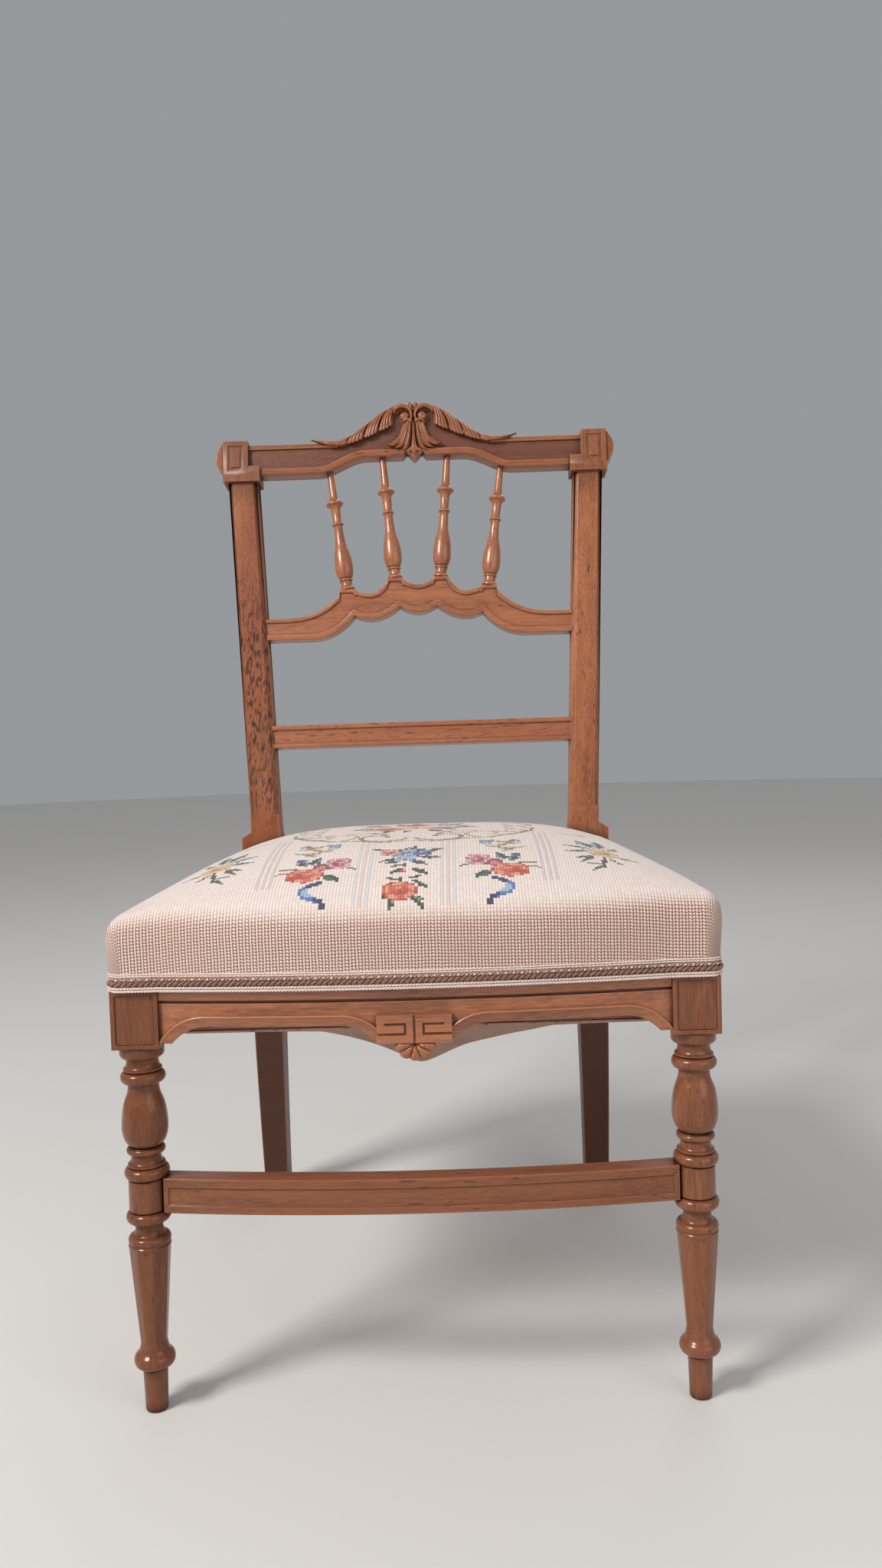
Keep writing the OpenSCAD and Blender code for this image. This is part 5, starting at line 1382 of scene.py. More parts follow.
# Threads of the flowers, as a screen shows them
CREAM = (0.945, 0.90, 0.875)
SALMON = (0.95, 0.66, 0.54)
CORAL = (0.88, 0.43, 0.33)
RED = (0.78, 0.27, 0.22)
ROSE = (0.86, 0.55, 0.62)
PALE_ROSE = (0.93, 0.78, 0.82)
PLUM = (0.62, 0.28, 0.36)
AMBER = (0.90, 0.74, 0.52)
BUFF = (0.95, 0.86, 0.70)
TAN = (0.72, 0.55, 0.36)
NAVY = (0.14, 0.24, 0.42)
BLUE = (0.30, 0.50, 0.74)
SKY = (0.66, 0.79, 0.90)
BOTTLE = (0.13, 0.27, 0.25)
GREEN = (0.22, 0.44, 0.34)
SAGE = (0.55, 0.68, 0.56)
TEAL = (0.42, 0.60, 0.62)
OLIVE = (0.55, 0.50, 0.36)
STONE = (0.70, 0.66, 0.53)
GREY_BLUE = (0.835, 0.855, 0.875)
GREY_PINK = (0.89, 0.80, 0.79)
GREY = (0.83, 0.785, 0.795)


class Canvas:
    """One thread colour for each stitch, laid by shapes whose sizes are in millimetres."""

    def __init__(self, columns, rows, pitch, middle):
        self.x, self.y = np.meshgrid((np.arange(columns) + 0.5 - columns / 2) * pitch,
                                     (np.arange(rows) + 0.5 - rows / 2) * pitch + middle)
        self.pitch = pitch
        self.thread = np.ones((rows, columns, 4))
        self.thread[:, :] = (*linear(CREAM)[:3], 0.0)
        self.face()

    def face(self, side=1, x=0.0, y=0.0, flip=1, scale=1.0):
        """Sets where the next shapes go: mirrored across or along, and from a new centre."""
        self.u = side * (self.x - x) / scale
        self.v = flip * (self.y - y) / scale

    def lay(self, mask, thread, worked=1.0):
        """Colours the stitches of a mask; worked is 0 where they belong to the ground."""
        self.thread[mask] = (*linear(thread)[:3], worked)

    def oval(self, x, y, rx, ry, thread, turn=0.0):
        """An oval of one thread, turned by an angle in degrees."""
        a = math.radians(turn)
        du, dv = self.u - x, self.v - y
        p, q = du * math.cos(a) + dv * math.sin(a), dv * math.cos(a) - du * math.sin(a)
        self.lay((p / rx) ** 2 + (q / ry) ** 2 < 1, thread)

    def stripe(self, x, low, high, thread):
        """A run of the ground, one stitch wide, in its own thread."""
        mask = (np.abs(self.u - x) < self.pitch * 0.52) & (self.v > low) & (self.v < high)
        self.lay(mask, thread, 0.0)

    def line(self, points, thread, width):
        """A line of that many stitches' width through the points."""
        mask = np.zeros(self.u.shape, bool)
        for (x0, y0), (x1, y1) in zip(points, points[1:]):
            dx, dy = x1 - x0, y1 - y0
            t = ((self.u - x0) * dx + (self.v - y0) * dy) / (dx * dx + dy * dy)
            t = np.clip(t, 0, 1)
            far = np.hypot(self.u - x0 - t * dx, self.v - y0 - t * dy)
            mask |= far < width * self.pitch * 0.58
        self.lay(mask, thread)

    def leaf(self, x, y, length, turn, threads=(BOTTLE, GREEN, SAGE), wide=0.3):
        """A pointed leaf from x, y: its shaded half, its lit half and its rib."""
        a = math.radians(turn)
        du, dv = self.u - x, self.v - y
        p = (du * math.cos(a) + dv * math.sin(a)) / length
        q = (dv * math.cos(a) - du * math.sin(a)) / length
        inside = (p > 0) & (p < 1)
        half = wide * np.sin(math.pi * np.clip(p, 0, 1)) ** 0.8 * (1.15 - 0.5 * np.clip(p, 0, 1))
        ragged = half * (0.82 + 0.18 * np.cos(p * 25))
        self.lay(inside & (np.abs(q) < np.maximum(ragged, self.pitch * 0.5 / length)), threads[0])
        self.lay(inside & (q > 0.02) & (q < ragged * 0.85), threads[1])
        self.lay(inside & (q > ragged * 0.35) & (q < ragged * 0.7) & (p < 0.7), threads[2])

    def leaves(self, places, threads=(BOTTLE, GREEN, SAGE), wide=0.3):
        """Leaves that are alike, each from its turn, x, y and length."""
        for turn, x, y, length in places:
            self.leaf(x, y, length, turn, threads, wide)

    def rose(self, x, y, rx, ry, threads, seed):
        """A full rose: outer petals with lit rims, dark folds, and a curled heart."""
        deep, main, lit = threads
        self.oval(x, y, rx, ry, deep)
        for i in range(5):
            a = math.radians(72 * i + 40 * seed)
            px, py = math.cos(a), math.sin(a)
            self.oval(x + 0.58 * rx * px, y + 0.58 * ry * py, rx * 0.47, ry * 0.40, main,
                      math.degrees(a) + 90)
            self.oval(x + 0.72 * rx * px, y + 0.72 * ry * py, rx * 0.34, ry * 0.17, lit,
                      math.degrees(a) + 90)
        self.oval(x, y, rx * 0.46, ry * 0.44, deep)
        self.oval(x - 0.1 * rx, y + 0.08 * ry, rx * 0.33, ry * 0.3, main)
        self.oval(x + 0.06 * rx, y - 0.04 * ry, rx * 0.17, ry * 0.15, deep)
        self.oval(x - 0.14 * rx, y + 0.2 * ry, rx * 0.2, ry * 0.1, lit)

    def blossom(self, x, y, r, petal, edge, heart):
        """A small open flower with five petals."""
        for i in range(5):
            a = math.radians(72 * i + 18)
            px, py = x + 0.6 * r * math.cos(a), y + 0.6 * r * math.sin(a)
            self.oval(px, py, r * 0.5, r * 0.42, edge, math.degrees(a))
            self.oval(px, py, r * 0.34, r * 0.28, petal, math.degrees(a))
        self.oval(x, y, r * 0.24, r * 0.24, heart)


def middle_spray(art):
    """Blue blossoms, a stalk with dark leaves, and a full red rose."""
    art.line([(-4, 4), (-4, 9)], BOTTLE, 0.9)
    art.line([(-3, 27), (-3, 33)], BOTTLE, 0.9)
    art.leaves([(215, -3, 23, 13), (-42, 3, 24, 17), (153, -6, 5, 12), (-48, 5, 5, 16),
                (20, 2, 8, 10), (200, -4, 30, 10)], (BOTTLE, BOTTLE, GREEN), 0.22)
    art.leaf(-11, -12, 9, 215, (BOTTLE, BOTTLE, GREEN), 0.4)
    art.leaf(-9, -17, 11, 252, wide=0.36)
    art.leaf(5, -16, 13, -58, wide=0.34)
    art.rose(-5, -8.5, 13, 12.2, (RED, CORAL, SALMON), 0.6)
    art.oval(-3, 20, 2.8, 3.4, RED)
    art.oval(-2, 22, 1.6, 2.0, SALMON)
    art.leaves([(203, -8, 43, 15), (-38, 3, 39, 15), (-12, 9, 47, 17), (188, -7, 37, 11),
                (25, 14, 60, 13), (150, -18, 62, 13), (80, 3, 64, 12)], wide=0.26)
    art.rose(-15, 58, 8.5, 8.5, (PLUM, ROSE, BUFF), 2.0)
    art.blossom(-2, 46, 9.5, SKY, BLUE, AMBER)
    art.blossom(10, 57, 9, BLUE, NAVY, SALMON)
    art.blossom(0, 62, 7.5, SKY, NAVY, AMBER)


def side_spray(art):
    """A red and a pink rose on a ribbon that ends in a blue tail, for the right-hand side."""
    art.line([(65, 5), (70, 2), (75, -2)], NAVY, 1.8)
    art.line([(75.5, -2), (76.5, -8), (75, -12)], BLUE, 1.6)
    art.line([(73.5, -5), (73.5, -10), (69, -13)], SKY, 1.6)
    art.line([(75, -14), (69, -16.5), (65, -18)], BLUE, 1.4)
    art.line([(66, -16), (62, -19), (60, -24)], NAVY, 1.7)
    art.leaf(84, 29, 14, 4, (BOTTLE, BOTTLE, GREEN), 0.15)
    art.leaf(86, 24, 15, -12, (OLIVE, OLIVE, SAGE), 0.14)
    art.leaf(61, 17, 15, 228, wide=0.36)
    art.leaf(46, 29, 9, 205, (BOTTLE, BOTTLE, GREEN), 0.2)
    art.leaf(78, 34, 15, 70, (BOTTLE, GREEN, TEAL), 0.4)
    art.leaf(74, 36, 17, 112, (BOTTLE, GREEN, TEAL), 0.34)
    art.oval(82, 47, 4.6, 3.6, BLUE, 25)
    art.oval(83, 48, 2.4, 1.8, NAVY, 25)
    art.rose(53, 37, 10.5, 11.5, (PLUM, ROSE, PALE_ROSE), 1.4)
    art.oval(66, 31, 6.5, 7.5, PLUM, 30)
    art.oval(65, 30, 3.4, 4.4, ROSE, 30)
    art.rose(77, 18, 14, 11.8, (RED, CORAL, SALMON), 0.0)
    art.leaf(82, 14, 10, -14, (RED, RED, SALMON), 0.5)
    wave = [(73 + 8 * math.sin(i * 1.15), 56 + i * 3.4) for i in range(11)]
    art.line(wave, STONE, 1.2)
    for i, (x, y) in enumerate(wave[1:-1]):
        art.leaf(x, y, 12, 20 if i % 2 else 165, (OLIVE, SAGE, STONE), 0.2)
    art.oval(66, 72, 3.6, 3.0, BUFF)
    art.oval(79, 66, 3.2, 2.8, BUFF)
    art.blossom(60, 83, 5.5, SKY, BLUE, BUFF)
    art.blossom(84, 88, 4.5, BLUE, NAVY, BUFF)


def corner_spray(art):
    """A yellow rose with teal leaves and dark sprigs, for the right-hand side."""
    art.leaves([(195, 143, 66, 22), (165, 143, 74, 22), (115, 145, 78, 30), (88, 150, 80, 34),
                (60, 157, 78, 18)], (BOTTLE, TEAL, SKY), 0.22)
    art.leaves([(238, 142, 50, 20), (215, 142, 52, 18), (-55, 153, 48, 16), (-12, 160, 56, 18),
                (232, 148, 30, 17), (180, 147, 32, 13)], (BOTTLE, BOTTLE, OLIVE), 0.16)
    art.line([(147, 26), (149, 38), (151, 52)], BOTTLE, 1.2)
    art.rose(151, 64, 11.5, 13, (TAN, AMBER, BUFF), 1.0)
    art.leaf(139, 142, 16, 170, (PLUM, GREY_PINK, GREY_PINK), 0.2)
    art.leaf(139, 142, 16, 60, (PLUM, GREY_PINK, GREY_PINK), 0.2)


def scroll_line(art, x, y, radius, start, sweep, thread):
    """A curl that tightens to a quarter of its radius along its sweep."""
    points = []
    for i in range(25):
        t = i / 24
        a = math.radians(start + sweep * t)
        r = radius * (1 - 0.75 * t)
        points.append((x + r * math.cos(a), y + r * math.sin(a) * 0.9))
    art.line(points, thread, 1.2)


def medallion(art):
    """Scrolls round a bouquet in the middle of the seat."""
    for side in (-1, 1):
        for flip in (-1, 1):
            art.face(side, PATTERN_X, CENTRE_Y, flip)
            scroll_line(art, 26, -74, 24, 200, 330, OLIVE)
            scroll_line(art, 62, -64, 20, 250, -330, STONE)
            scroll_line(art, 84, -40, 18, 210, 320, OLIVE)
            scroll_line(art, 40, -52, 15, 20, 300, STONE)
            scroll_line(art, 92, -12, 15, 240, -300, STONE)
            art.line([(2, -92), (22, -97), (46, -88), (66, -84)], STONE, 1.3)
            art.line([(66, -84), (86, -66), (100, -42), (104, -10)], OLIVE, 1.2)
            art.leaf(70, -78, 18, 40, (OLIVE, STONE, SAGE), 0.2)
            art.leaf(48, -86, 16, -160, (OLIVE, STONE, SAGE), 0.2)
            art.leaf(20, -62, 18, 60, (OLIVE, SAGE, STONE), 0.22)
    art.face(1, PATTERN_X, CENTRE_Y)
    for i in range(14):
        a = 360 / 14 * i + 9
        x, y = 36 * math.cos(math.radians(a)), 30 * math.sin(math.radians(a))
        art.leaf(x, y, 22 if i % 2 else 17, a + (12 if i % 2 else -14))
    art.rose(-24, -16, 16, 14, (RED, CORAL, SALMON), 0.4)
    art.rose(24, -14, 15, 13, (PLUM, ROSE, PALE_ROSE), 1.5)
    art.rose(0, 20, 17, 15, (RED, CORAL, SALMON), 2.2)
    art.rose(0, -10, 11, 10, (TAN, AMBER, BUFF), 0.9)
    art.blossom(-30, 14, 10, SKY, BLUE, AMBER)
    art.blossom(30, 16, 10, SKY, NAVY, AMBER)


PATTERN_X = -3.5
MIDDLE_X = PATTERN_X - 1.5
INNER_STRIPES = 31.5
OUTER_STRIPES = 106.5


def embroider(art):
    """Draws the whole cover: stripes, medallion and sprays, front and rear."""
    for flip in (1, -1):
        centre = 0 if flip > 0 else 2 * CENTRE_Y
        for side in (-1, 1):
            for k, thread in enumerate((GREY_BLUE, GREY_PINK, GREY_BLUE)):
                art.face(side, MIDDLE_X, centre, flip)
                art.stripe(INNER_STRIPES + (k - 1) * 2 * art.pitch, -25, 96, thread)
                art.face(side, PATTERN_X, centre, flip)
                art.stripe(OUTER_STRIPES + (k - 1) * 2 * art.pitch, 0, 135, GREY)
    medallion(art)
    for flip in (1, -1):
        centre = 0 if flip > 0 else 2 * CENTRE_Y
        scale = 1.0 if flip > 0 else 0.92
        art.face(1, PATTERN_X, centre, flip, scale)
        middle_spray(art)
        for side in (-1, 1):
            art.face(side, PATTERN_X, centre, flip, scale)
            side_spray(art)
            corner_spray(art)


class CHAIR_OT_needlepoint(Operator):
    """Stitches the cover and pulls it over the seat, one face for each stitch"""
    bl_idname = "chair.needlepoint"
    bl_label = "Needlepoint Cover"

    def execute(self, context):
        pitch = settings("cover").stitch / MM
        side_drop = EDGE_ROUND * (math.pi / 2 - 1) + EDGE_H + LAP + 3
        half = HALF_W + side_drop
        front = HALF_BLOCK + RAIL_BOW + side_drop
        rear = REAR_FACE + side_drop + 18
        columns = 2 * math.ceil(half / pitch)
        rows = math.ceil((front + rear) / pitch)
        middle = (rear - front) / 2
        art = Canvas(columns, rows, pitch, middle)
        embroider(art)
        bm = bmesh.new()
        column_layer = bm.faces.layers.int.new("column")
        row_layer = bm.faces.layers.int.new("row")
        hang_layer = bm.verts.layers.float.new("hang")
        stitch_map = bm.loops.layers.uv.new("stitches")
        bmesh.ops.create_grid(bm, x_segments=columns, y_segments=rows, size=1)
        for face in bm.faces:
            where = face.calc_center_median()
            face[column_layer] = int((where.x + 1) / 2 * columns)
            face[row_layer] = int((where.y + 1) / 2 * rows)
            for loop in face.loops:
                co = loop.vert.co
                loop[stitch_map].uv = ((co.x + 1) / 2 * columns, (co.y + 1) / 2 * rows)
        gone = {}
        for face in bm.faces:
            x = float(art.x[0, face[column_layer]])
            y = float(art.y[face[row_layer], 0])
            if not cover_kept(x, y, pitch):
                gone[face] = True
        for vert in bm.verts:
            x = vert.co.x * columns * pitch / 2
            y = vert.co.y * rows * pitch / 2 + middle
            vert.co = cover_point(x, y)
            vert[hang_layer] = bump((seat_top(vert.co.x, vert.co.y) - vert.co.z + 4) / 14)
        hem = HEM_Z + 0.6
        gone.update((f, True) for f in bm.faces if all(v.co.z < hem for v in f.verts))
        bmesh.ops.delete(bm, geom=list(gone), context="FACES")
        for vert in bm.verts:
            vert.co = spot(*vert.co)
        cover = finished("seat_cover_needlepoint", bm, needlepoint("Needlepoint"),
                         ["seat_cover"], sharp=180, recalc=False)
        mesh = cover.data
        cells = np.zeros((2, len(mesh.polygons)), int)
        for i, name in enumerate(("column", "row")):
            mesh.attributes[name].data.foreach_get("value", cells[i])
        threads = art.thread[cells[1], cells[0]]
        per_corner = np.repeat(threads, 4, axis=0).astype(np.float32)
        layer = mesh.color_attributes.new("thread", "FLOAT_COLOR", "CORNER")
        layer.data.foreach_set("color", per_corner.ravel())
        return {"FINISHED"}


STUFFING_UNDER = 2.0
PAD_ROUNDS = 4
PAD_EDGE = 11


def under_cover(bm):
    """Moves the vertices of the pad that come too close to the cover back inside it."""
    seat = bmesh.new()
    wide, front, rear = HALF_W + 50, -HALF_BLOCK - 60, REAR_FACE + 50
    mapped_grid(seat, 120, 120, lambda t, q: spot(*over_edge(
        lerp(-wide, wide, t), lerp(front, rear, q))))
    seat.normal_update()
    tree = BVHTree.FromBMesh(seat)
    seat.free()
    for vert in bm.verts:
        place, normal, _, _ = tree.find_nearest(vert.co)
        if normal.length > 0.5 and (vert.co - place).dot(normal) > -STUFFING_UNDER * MM:
            vert.co = place - normal * STUFFING_UNDER * MM


class CHAIR_OT_stuffing(Operator):
    """Makes the stuffed pad under the cover"""
    bl_idname = "chair.stuffing"
    bl_label = "Stuffing"

    def execute(self, context):
        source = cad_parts["seat_stuffing"]
        bm = bmesh.new()
        bm.from_mesh(source.data)
        bm.transform(source.matrix_world)
        bmesh.ops.remove_doubles(bm, verts=bm.verts, dist=1e-5)
        for vert in bm.verts:
            share = bump((vert.co.z / MM - RAIL_TOP) / EDGE_H)
            vert.co.z += settled(vert.co.x / MM) * share * MM
        for _ in range(PAD_ROUNDS):
            bmesh.ops.triangulate(bm, faces=bm.faces)
            long = [e for e in bm.edges if e.calc_length() > PAD_EDGE * MM]
            bmesh.ops.subdivide_edges(bm, edges=long, cuts=1, use_grid_fill=True)
        under_cover(bm)
        pad = finished("seat_stuffing_pad", bm, stuffing_wool("Wadding"),
                       ["seat_stuffing"], sharp=180)
        return {"FINISHED"}


def seat_path(out):
    """The line round the seat at a distance from the rails: from one rear leg round the front
    to the other, as points across and along."""
    corner, step = 9.0, 2.0
    half = []
    for i in range(int((BOW_HALF + 26) / step) + 1):
        x = min(i * step, HALF_W - corner)
        half.append((x, -HALF_BLOCK - max(0.0, bow(x)) - out))
    half += arc(HALF_W - corner, -HALF_BLOCK + corner, corner + out, corner + out, -90, 0, 9)[1:]
    count = int((NOTCH_Y + 8) / step)
    for i in range(1, count + 1):
        y = lerp(-HALF_BLOCK + corner, NOTCH_Y, i / count)
        half.append((half_width(max(0, y)) + out, y))
    return [(-x, y) for x, y in reversed(half[1:])] + half


def resampled(points, step):
    """Points at equal steps along a line: how far along, where, and in which direction."""
    line = [Vector(p) for p in points]
    lengths = [0.0]
    for a, b in zip(line, line[1:]):
        lengths.append(lengths[-1] + (b - a).length)
    count = round(lengths[-1] / step)
    made, i = [], 0
    for k in range(count + 1):
        want = lengths[-1] * k / count
        while i < len(line) - 2 and lengths[i + 1] < want:
            i += 1
        t = (want - lengths[i]) / max(1e-9, lengths[i + 1] - lengths[i])
        made.append((want, line[i].lerp(line[i + 1], t), (line[i + 1] - line[i]).normalized()))
    return made


def cords(name, routes, radius, material, replaced=(), sides=1):
    """Round strands along routes of points in metres, as one piece."""
    shape = bpy.data.curves.new(name, "CURVE")
    shape.dimensions = "3D"
    shape.bevel_depth = radius
    shape.bevel_resolution = sides
    shape.use_fill_caps = True
    for route in routes:
        spline = shape.splines.new("POLY")
        spline.points.add(len(route) - 1)
        for point, place in zip(spline.points, route):
            point.co = (*place, 1.0)
    holder = bpy.data.objects.new(name + "_line", shape)
    bpy.context.scene.collection.objects.link(holder)
    graph = bpy.context.evaluated_depsgraph_get()
    mesh = bpy.data.meshes.new_from_object(holder.evaluated_get(graph))
    bpy.data.objects.remove(holder)
    bm = bmesh.new()
    bm.from_mesh(mesh)
    return finished(name, bm, material, replaced, sharp=180, recalc=False)


BRAID_OUT = 0.5
BRAID_H = 14.0


def braid_paths():
    """The two runs of the braid: round the front and sides, and across the back."""
    across = [(REAR_IN - 6 - i * 2.0, REAR_FACE) for i in range(int(REAR_IN - 6) + 1)]
    return [resampled(seat_path(BRAID_OUT), 0.8),
            resampled([(x, y + BRAID_OUT) for x, y in across], 0.8)]


def beside(place, run, out, height):
    """A point outside a line round the seat, at a height above the hem."""
    point = place + Vector((run.y, -run.x)) * out
    return spot(point.x, point.y, HEM_Z + height)


def strand_route(path, height, radius, pitch, phase, swing=None, out=1.0):
    """A strand that twists or swings about a line at a height above the hem."""
    wave = radius if swing is None else swing
    route = []
    for far, place, run in path:
        a = 2 * math.pi * far / pitch + phase
        route.append(beside(place, run, out + radius * math.cos(a), height + wave * math.sin(a)))
    return route


class CHAIR_OT_braid(Operator):
    """Lays the braid round the hem of the cover: cords, a beaded plait and a twisted rope"""
    bl_idname = "chair.braid"
    bl_label = "Gimp Braid"

    def execute(self, context):
        paths = braid_paths()
        pale = strand("Pale cord", (0.98, 0.91, 0.88), (0.86, 0.75, 0.70))
        tan = strand("Tan plait", (0.86, 0.70, 0.61), (0.62, 0.46, 0.39))
        dark = strand("Brown rope", (0.69, 0.49, 0.40), (0.38, 0.24, 0.18))

        def strands(height, radius, pitch, phases, **more):
            return [strand_route(path, height, radius, pitch, phase, **more)
                    for path in paths for phase in phases]

        twist = (0, math.pi)
        cords("gimp_cord", strands(1.15, 0.35, 2.4, (0,)) + strands(3.2, 0.35, 2.4, (1.5,)),
              1.05 * MM, pale, ["gimp_braid"])
        cords("gimp_rope", strands(6.3, 0.95, 8.4, twist), 1.1 * MM, dark)
        cords("gimp_plait", strands(9.4, 0.4, 6.0, twist, swing=0.9, out=0.7), 0.7 * MM, tan)
        cords("gimp_edge", strands(11.8, 0.2, 3.0, (0,)) + strands(13.3, 0.2, 3.0, (0,)),
              0.68 * MM, pale)
        bm = bmesh.new()
        for path in paths:
            for k, (_, place, run) in enumerate(path[4::7]):
                seat = Matrix.Translation(beside(place, run, 1.7, 9.4))
                size = (1.05 if k % 2 else 0.8) * MM
                bmesh.ops.create_icosphere(bm, subdivisions=1, radius=size, matrix=seat)
        finished("gimp_beads", bm, pale, sharp=180)
        bm = bmesh.new()
        for path in paths:
            def at(t, q, path=path):
                _, place, run = path[round(t * (len(path) - 1))]
                return beside(place, run, 0.1, lerp(0.4, BRAID_H, q))

            mapped_grid(bm, (len(path) - 1) // 4, 2, at)
        ground = strand("Braid ground", (0.74, 0.62, 0.51), (0.52, 0.40, 0.33))
        thickened(finished("gimp_ribbon", bm, ground, sharp=180), 0.6)
        return {"FINISHED"}


def side_in(y):
    """Inner face of a side rail."""
    outer = lerp(HALF_W - 1, REAR_OUT - 0.5, (y - HALF_BLOCK) / (SEAT_D - HALF_BLOCK))
    return outer - RAIL_T


MID_D = (RAIL_IN_Y + REAR_RAIL_Y) / 2
HALF_D = (REAR_RAIL_Y - RAIL_IN_Y) / 2
SAG = 39                 # how far the springs push the middle of the webbing down
WEB_W = 50
WEB_T = 1.2
WEB_LIFT = 0.9
WEB_LAP = 13.5
WEB_LEVEL = RAIL_Z - 0.2 - WEB_T / 2 - WEB_LIFT
WEB_ORDER = (-1.5, -0.5, 0.5, 1.5)
WEB_X = [i * (2 * REAR_IN - 26) / 4 for i in WEB_ORDER]
WEB_Y = [MID_D + i * HALF_D * 0.46 for i in WEB_ORDER]


def slack(x, y):
    """Share of the full sag of the webbing at a place."""
    far = (x / side_in(MID_D)) ** 2 + ((y - MID_D) / HALF_D) ** 2
    return max(0.0, 1 - far) ** 4


def weave_height(sign, own, at, crossings):
    """Height of the weave along a strip: over and under the strips that it crosses."""
    height = 0.0
    for i, place in enumerate(crossings):
        over = sign if (own + i) % 2 == 0 else -sign
        height += over * (1 - bump((abs(at - place) - WEB_W / 2 + 2) / 8))
    return WEB_LIFT * height


def cloth_piece(name, width, length, columns, rows, place, material, replaced,
                thickness):
    """A sheet of cloth: place gives its points for shares across and along."""
    bm = bmesh.new()
    layer = bm.loops.layers.uv.new("cloth")
    bmesh.ops.create_grid(bm, x_segments=columns, y_segments=rows, size=1)
    for face in bm.faces:
        for loop in face.loops:
            co = loop.vert.co
            loop[layer].uv = ((co.x + 1) / 2 * width * MM, (co.y + 1) / 2 * length * MM)
    for vert in bm.verts:
        vert.co = place((vert.co.x + 1) / 2, (vert.co.y + 1) / 2)
    piece = finished(name, bm, material, replaced, sharp=180, recalc=False)
    thickened(piece, thickness, offset=0)
    area = sum(f.area for f in piece.data.polygons)
    cut = width * length * MM * MM
    width * MM
    length * MM
    clamp(area, 0.31 * cut, cut)


class CHAIR_OT_webbing(Operator):
    """Weaves the jute webbing under the rails"""
    bl_idname = "chair.webbing"
    bl_label = "Webbing"

    def execute(self, context):
        jute = woven("Jute webbing", (0.74, 0.62, 0.44), (0.42, 0.31, 0.2), 0.0016)
        low, high = RAIL_IN_Y - WEB_LAP, REAR_RAIL_Y + WEB_LAP
        for k, x0 in enumerate(WEB_X):
            def lengthwise(t, q, x0=x0, k=k):
                x, y = x0 + (t - 0.5) * WEB_W, lerp(low, high, q)
                lift = weave_height(1, k, y, WEB_Y)
                lift = lerp(WEB_LIFT, lift, bump((min(y - low, high - y) - 10) / 12))
                return spot(x, y, WEB_LEVEL + lift - SAG * slack(x, y))
            cloth_piece(f"webbing_long_{k + 1}", WEB_W, high - low, 8, 110, lengthwise, jute,
                        ["webbing_lengthwise"] if k == 0 else [],
                        WEB_T)
        for k, y0 in enumerate(WEB_Y):
            end = side_in(y0) + WEB_LAP - 2

            def crosswise(t, q, y0=y0, k=k, end=end):
                x, y = lerp(-end, end, q), y0 - (t - 0.5) * WEB_W
                lift = weave_height(-1, k, x, WEB_X)
                lift = lerp(WEB_LIFT, lift, bump((end - abs(x) - 10) / 12))
                return spot(x, y, WEB_LEVEL + lift - SAG * slack(x, y))
            cloth_piece(f"webbing_cross_{k + 1}", WEB_W, 2 * end, 8, 100, crosswise, jute,
                        ["webbing_crosswise"] if k == 0 else [],
                        WEB_T)
        return {"FINISHED"}


CANVAS_RISE = 14
BELLY_Y = 75


def canvas_height(x, y):
    """Height of the hessian, which the springs push up in the middle."""
    across, along = x / side_in(MID_D), (y - MID_D) / HALF_D
    hill = max(0, 1 - across ** 2) ** 2 * max(0, 1 - along ** 2) ** 2
    return RAIL_TOP + 0.2 + CANVAS_RISE * hill


def belly(x, y, front):
    """How far the old cloth bags behind the front rail, below the webbing."""
    wide = 24 * math.exp(-(abs(x - 15) / 118) ** 3)
    point = 16 * math.exp(-(abs(x - 1) / 28) ** 1.5)
    return (wide + point) * bump((y - front) / 85) * math.exp(-(max(0, y - BELLY_Y) / 95) ** 2)


class CHAIR_OT_canvas(Operator):
    """Stretches the hessian over the springs and hangs the cloth under the webbing"""
    bl_idname = "chair.canvas"
    bl_label = "Hessian and Bottom Cloth"

    def execute(self, context):
        hessian = woven("Hessian", (0.70, 0.57, 0.40), (0.36, 0.27, 0.18), 0.0024)
        lining = woven("Bottom cloth", (0.80, 0.62, 0.54), (0.56, 0.40, 0.34), 0.0012, fray=0.4)
        inset = 10
        low, high = -HALF_BLOCK + inset, REAR_FACE - inset

        def over_springs(t, q):
            y = lerp(low, high, q)
            half = (half_width(y) if y < SEAT_D - inset - 2 else REAR_IN) - inset
            x = lerp(-half, half, t)
            return spot(x, y, canvas_height(x, y) + 0.4)
        cloth_piece("spring_canvas_hessian", 2 * (HALF_W - inset), high - low, 60, 60, over_springs,
                    hessian, ["spring_canvas"], 0.7)
        lap = 14.5
        front, rear = RAIL_IN_Y - lap, REAR_RAIL_Y + lap
        level = WEB_LEVEL - WEB_LIFT - WEB_T / 2 - 2.4

        def under_webbing(t, q):
            y = lerp(front, rear, q)
            half = side_in(clamp(y, 19, SEAT_D)) + lap
            if y < HALF_BLOCK + 2:
                half = LEG_X - HALF_BLOCK - 1.5
            if y > SEAT_D - 2:
                half = REAR_IN - 1.5
            x = lerp(-half, half, t)
            rim = min(half - abs(x), y - front, rear - y)
            z = lerp(RAIL_Z - 0.7, level, bump(rim / 16)) - SAG * slack(x, y)
            ripple = 0.8 * noise.noise(Vector((x / 38, y / 90, 0))) * bump(rim / 40)
            return spot(x, y, z - belly(x, y, front) - abs(ripple))
        cloth_piece("bottom_cloth_lining", 2 * (side_in(19) + lap), rear - front, 96, 96,
                    under_webbing, lining, ["bottom_cloth"],
                    0.6)
        return {"FINISHED"}


SPRING_X, SPRING_Y = 76, 82
SPRING_PLACES = [(0, MID_D)] + [(sx * SPRING_X, MID_D + sy * SPRING_Y)
                                for sx in (-1, 1) for sy in (-1, 1)]
SPRING_TURNS = 4
SPRING_STEPS = 28
SPRING_WAIST = 22
SPRING_FLARE = 14
WIRE_R = 1.6


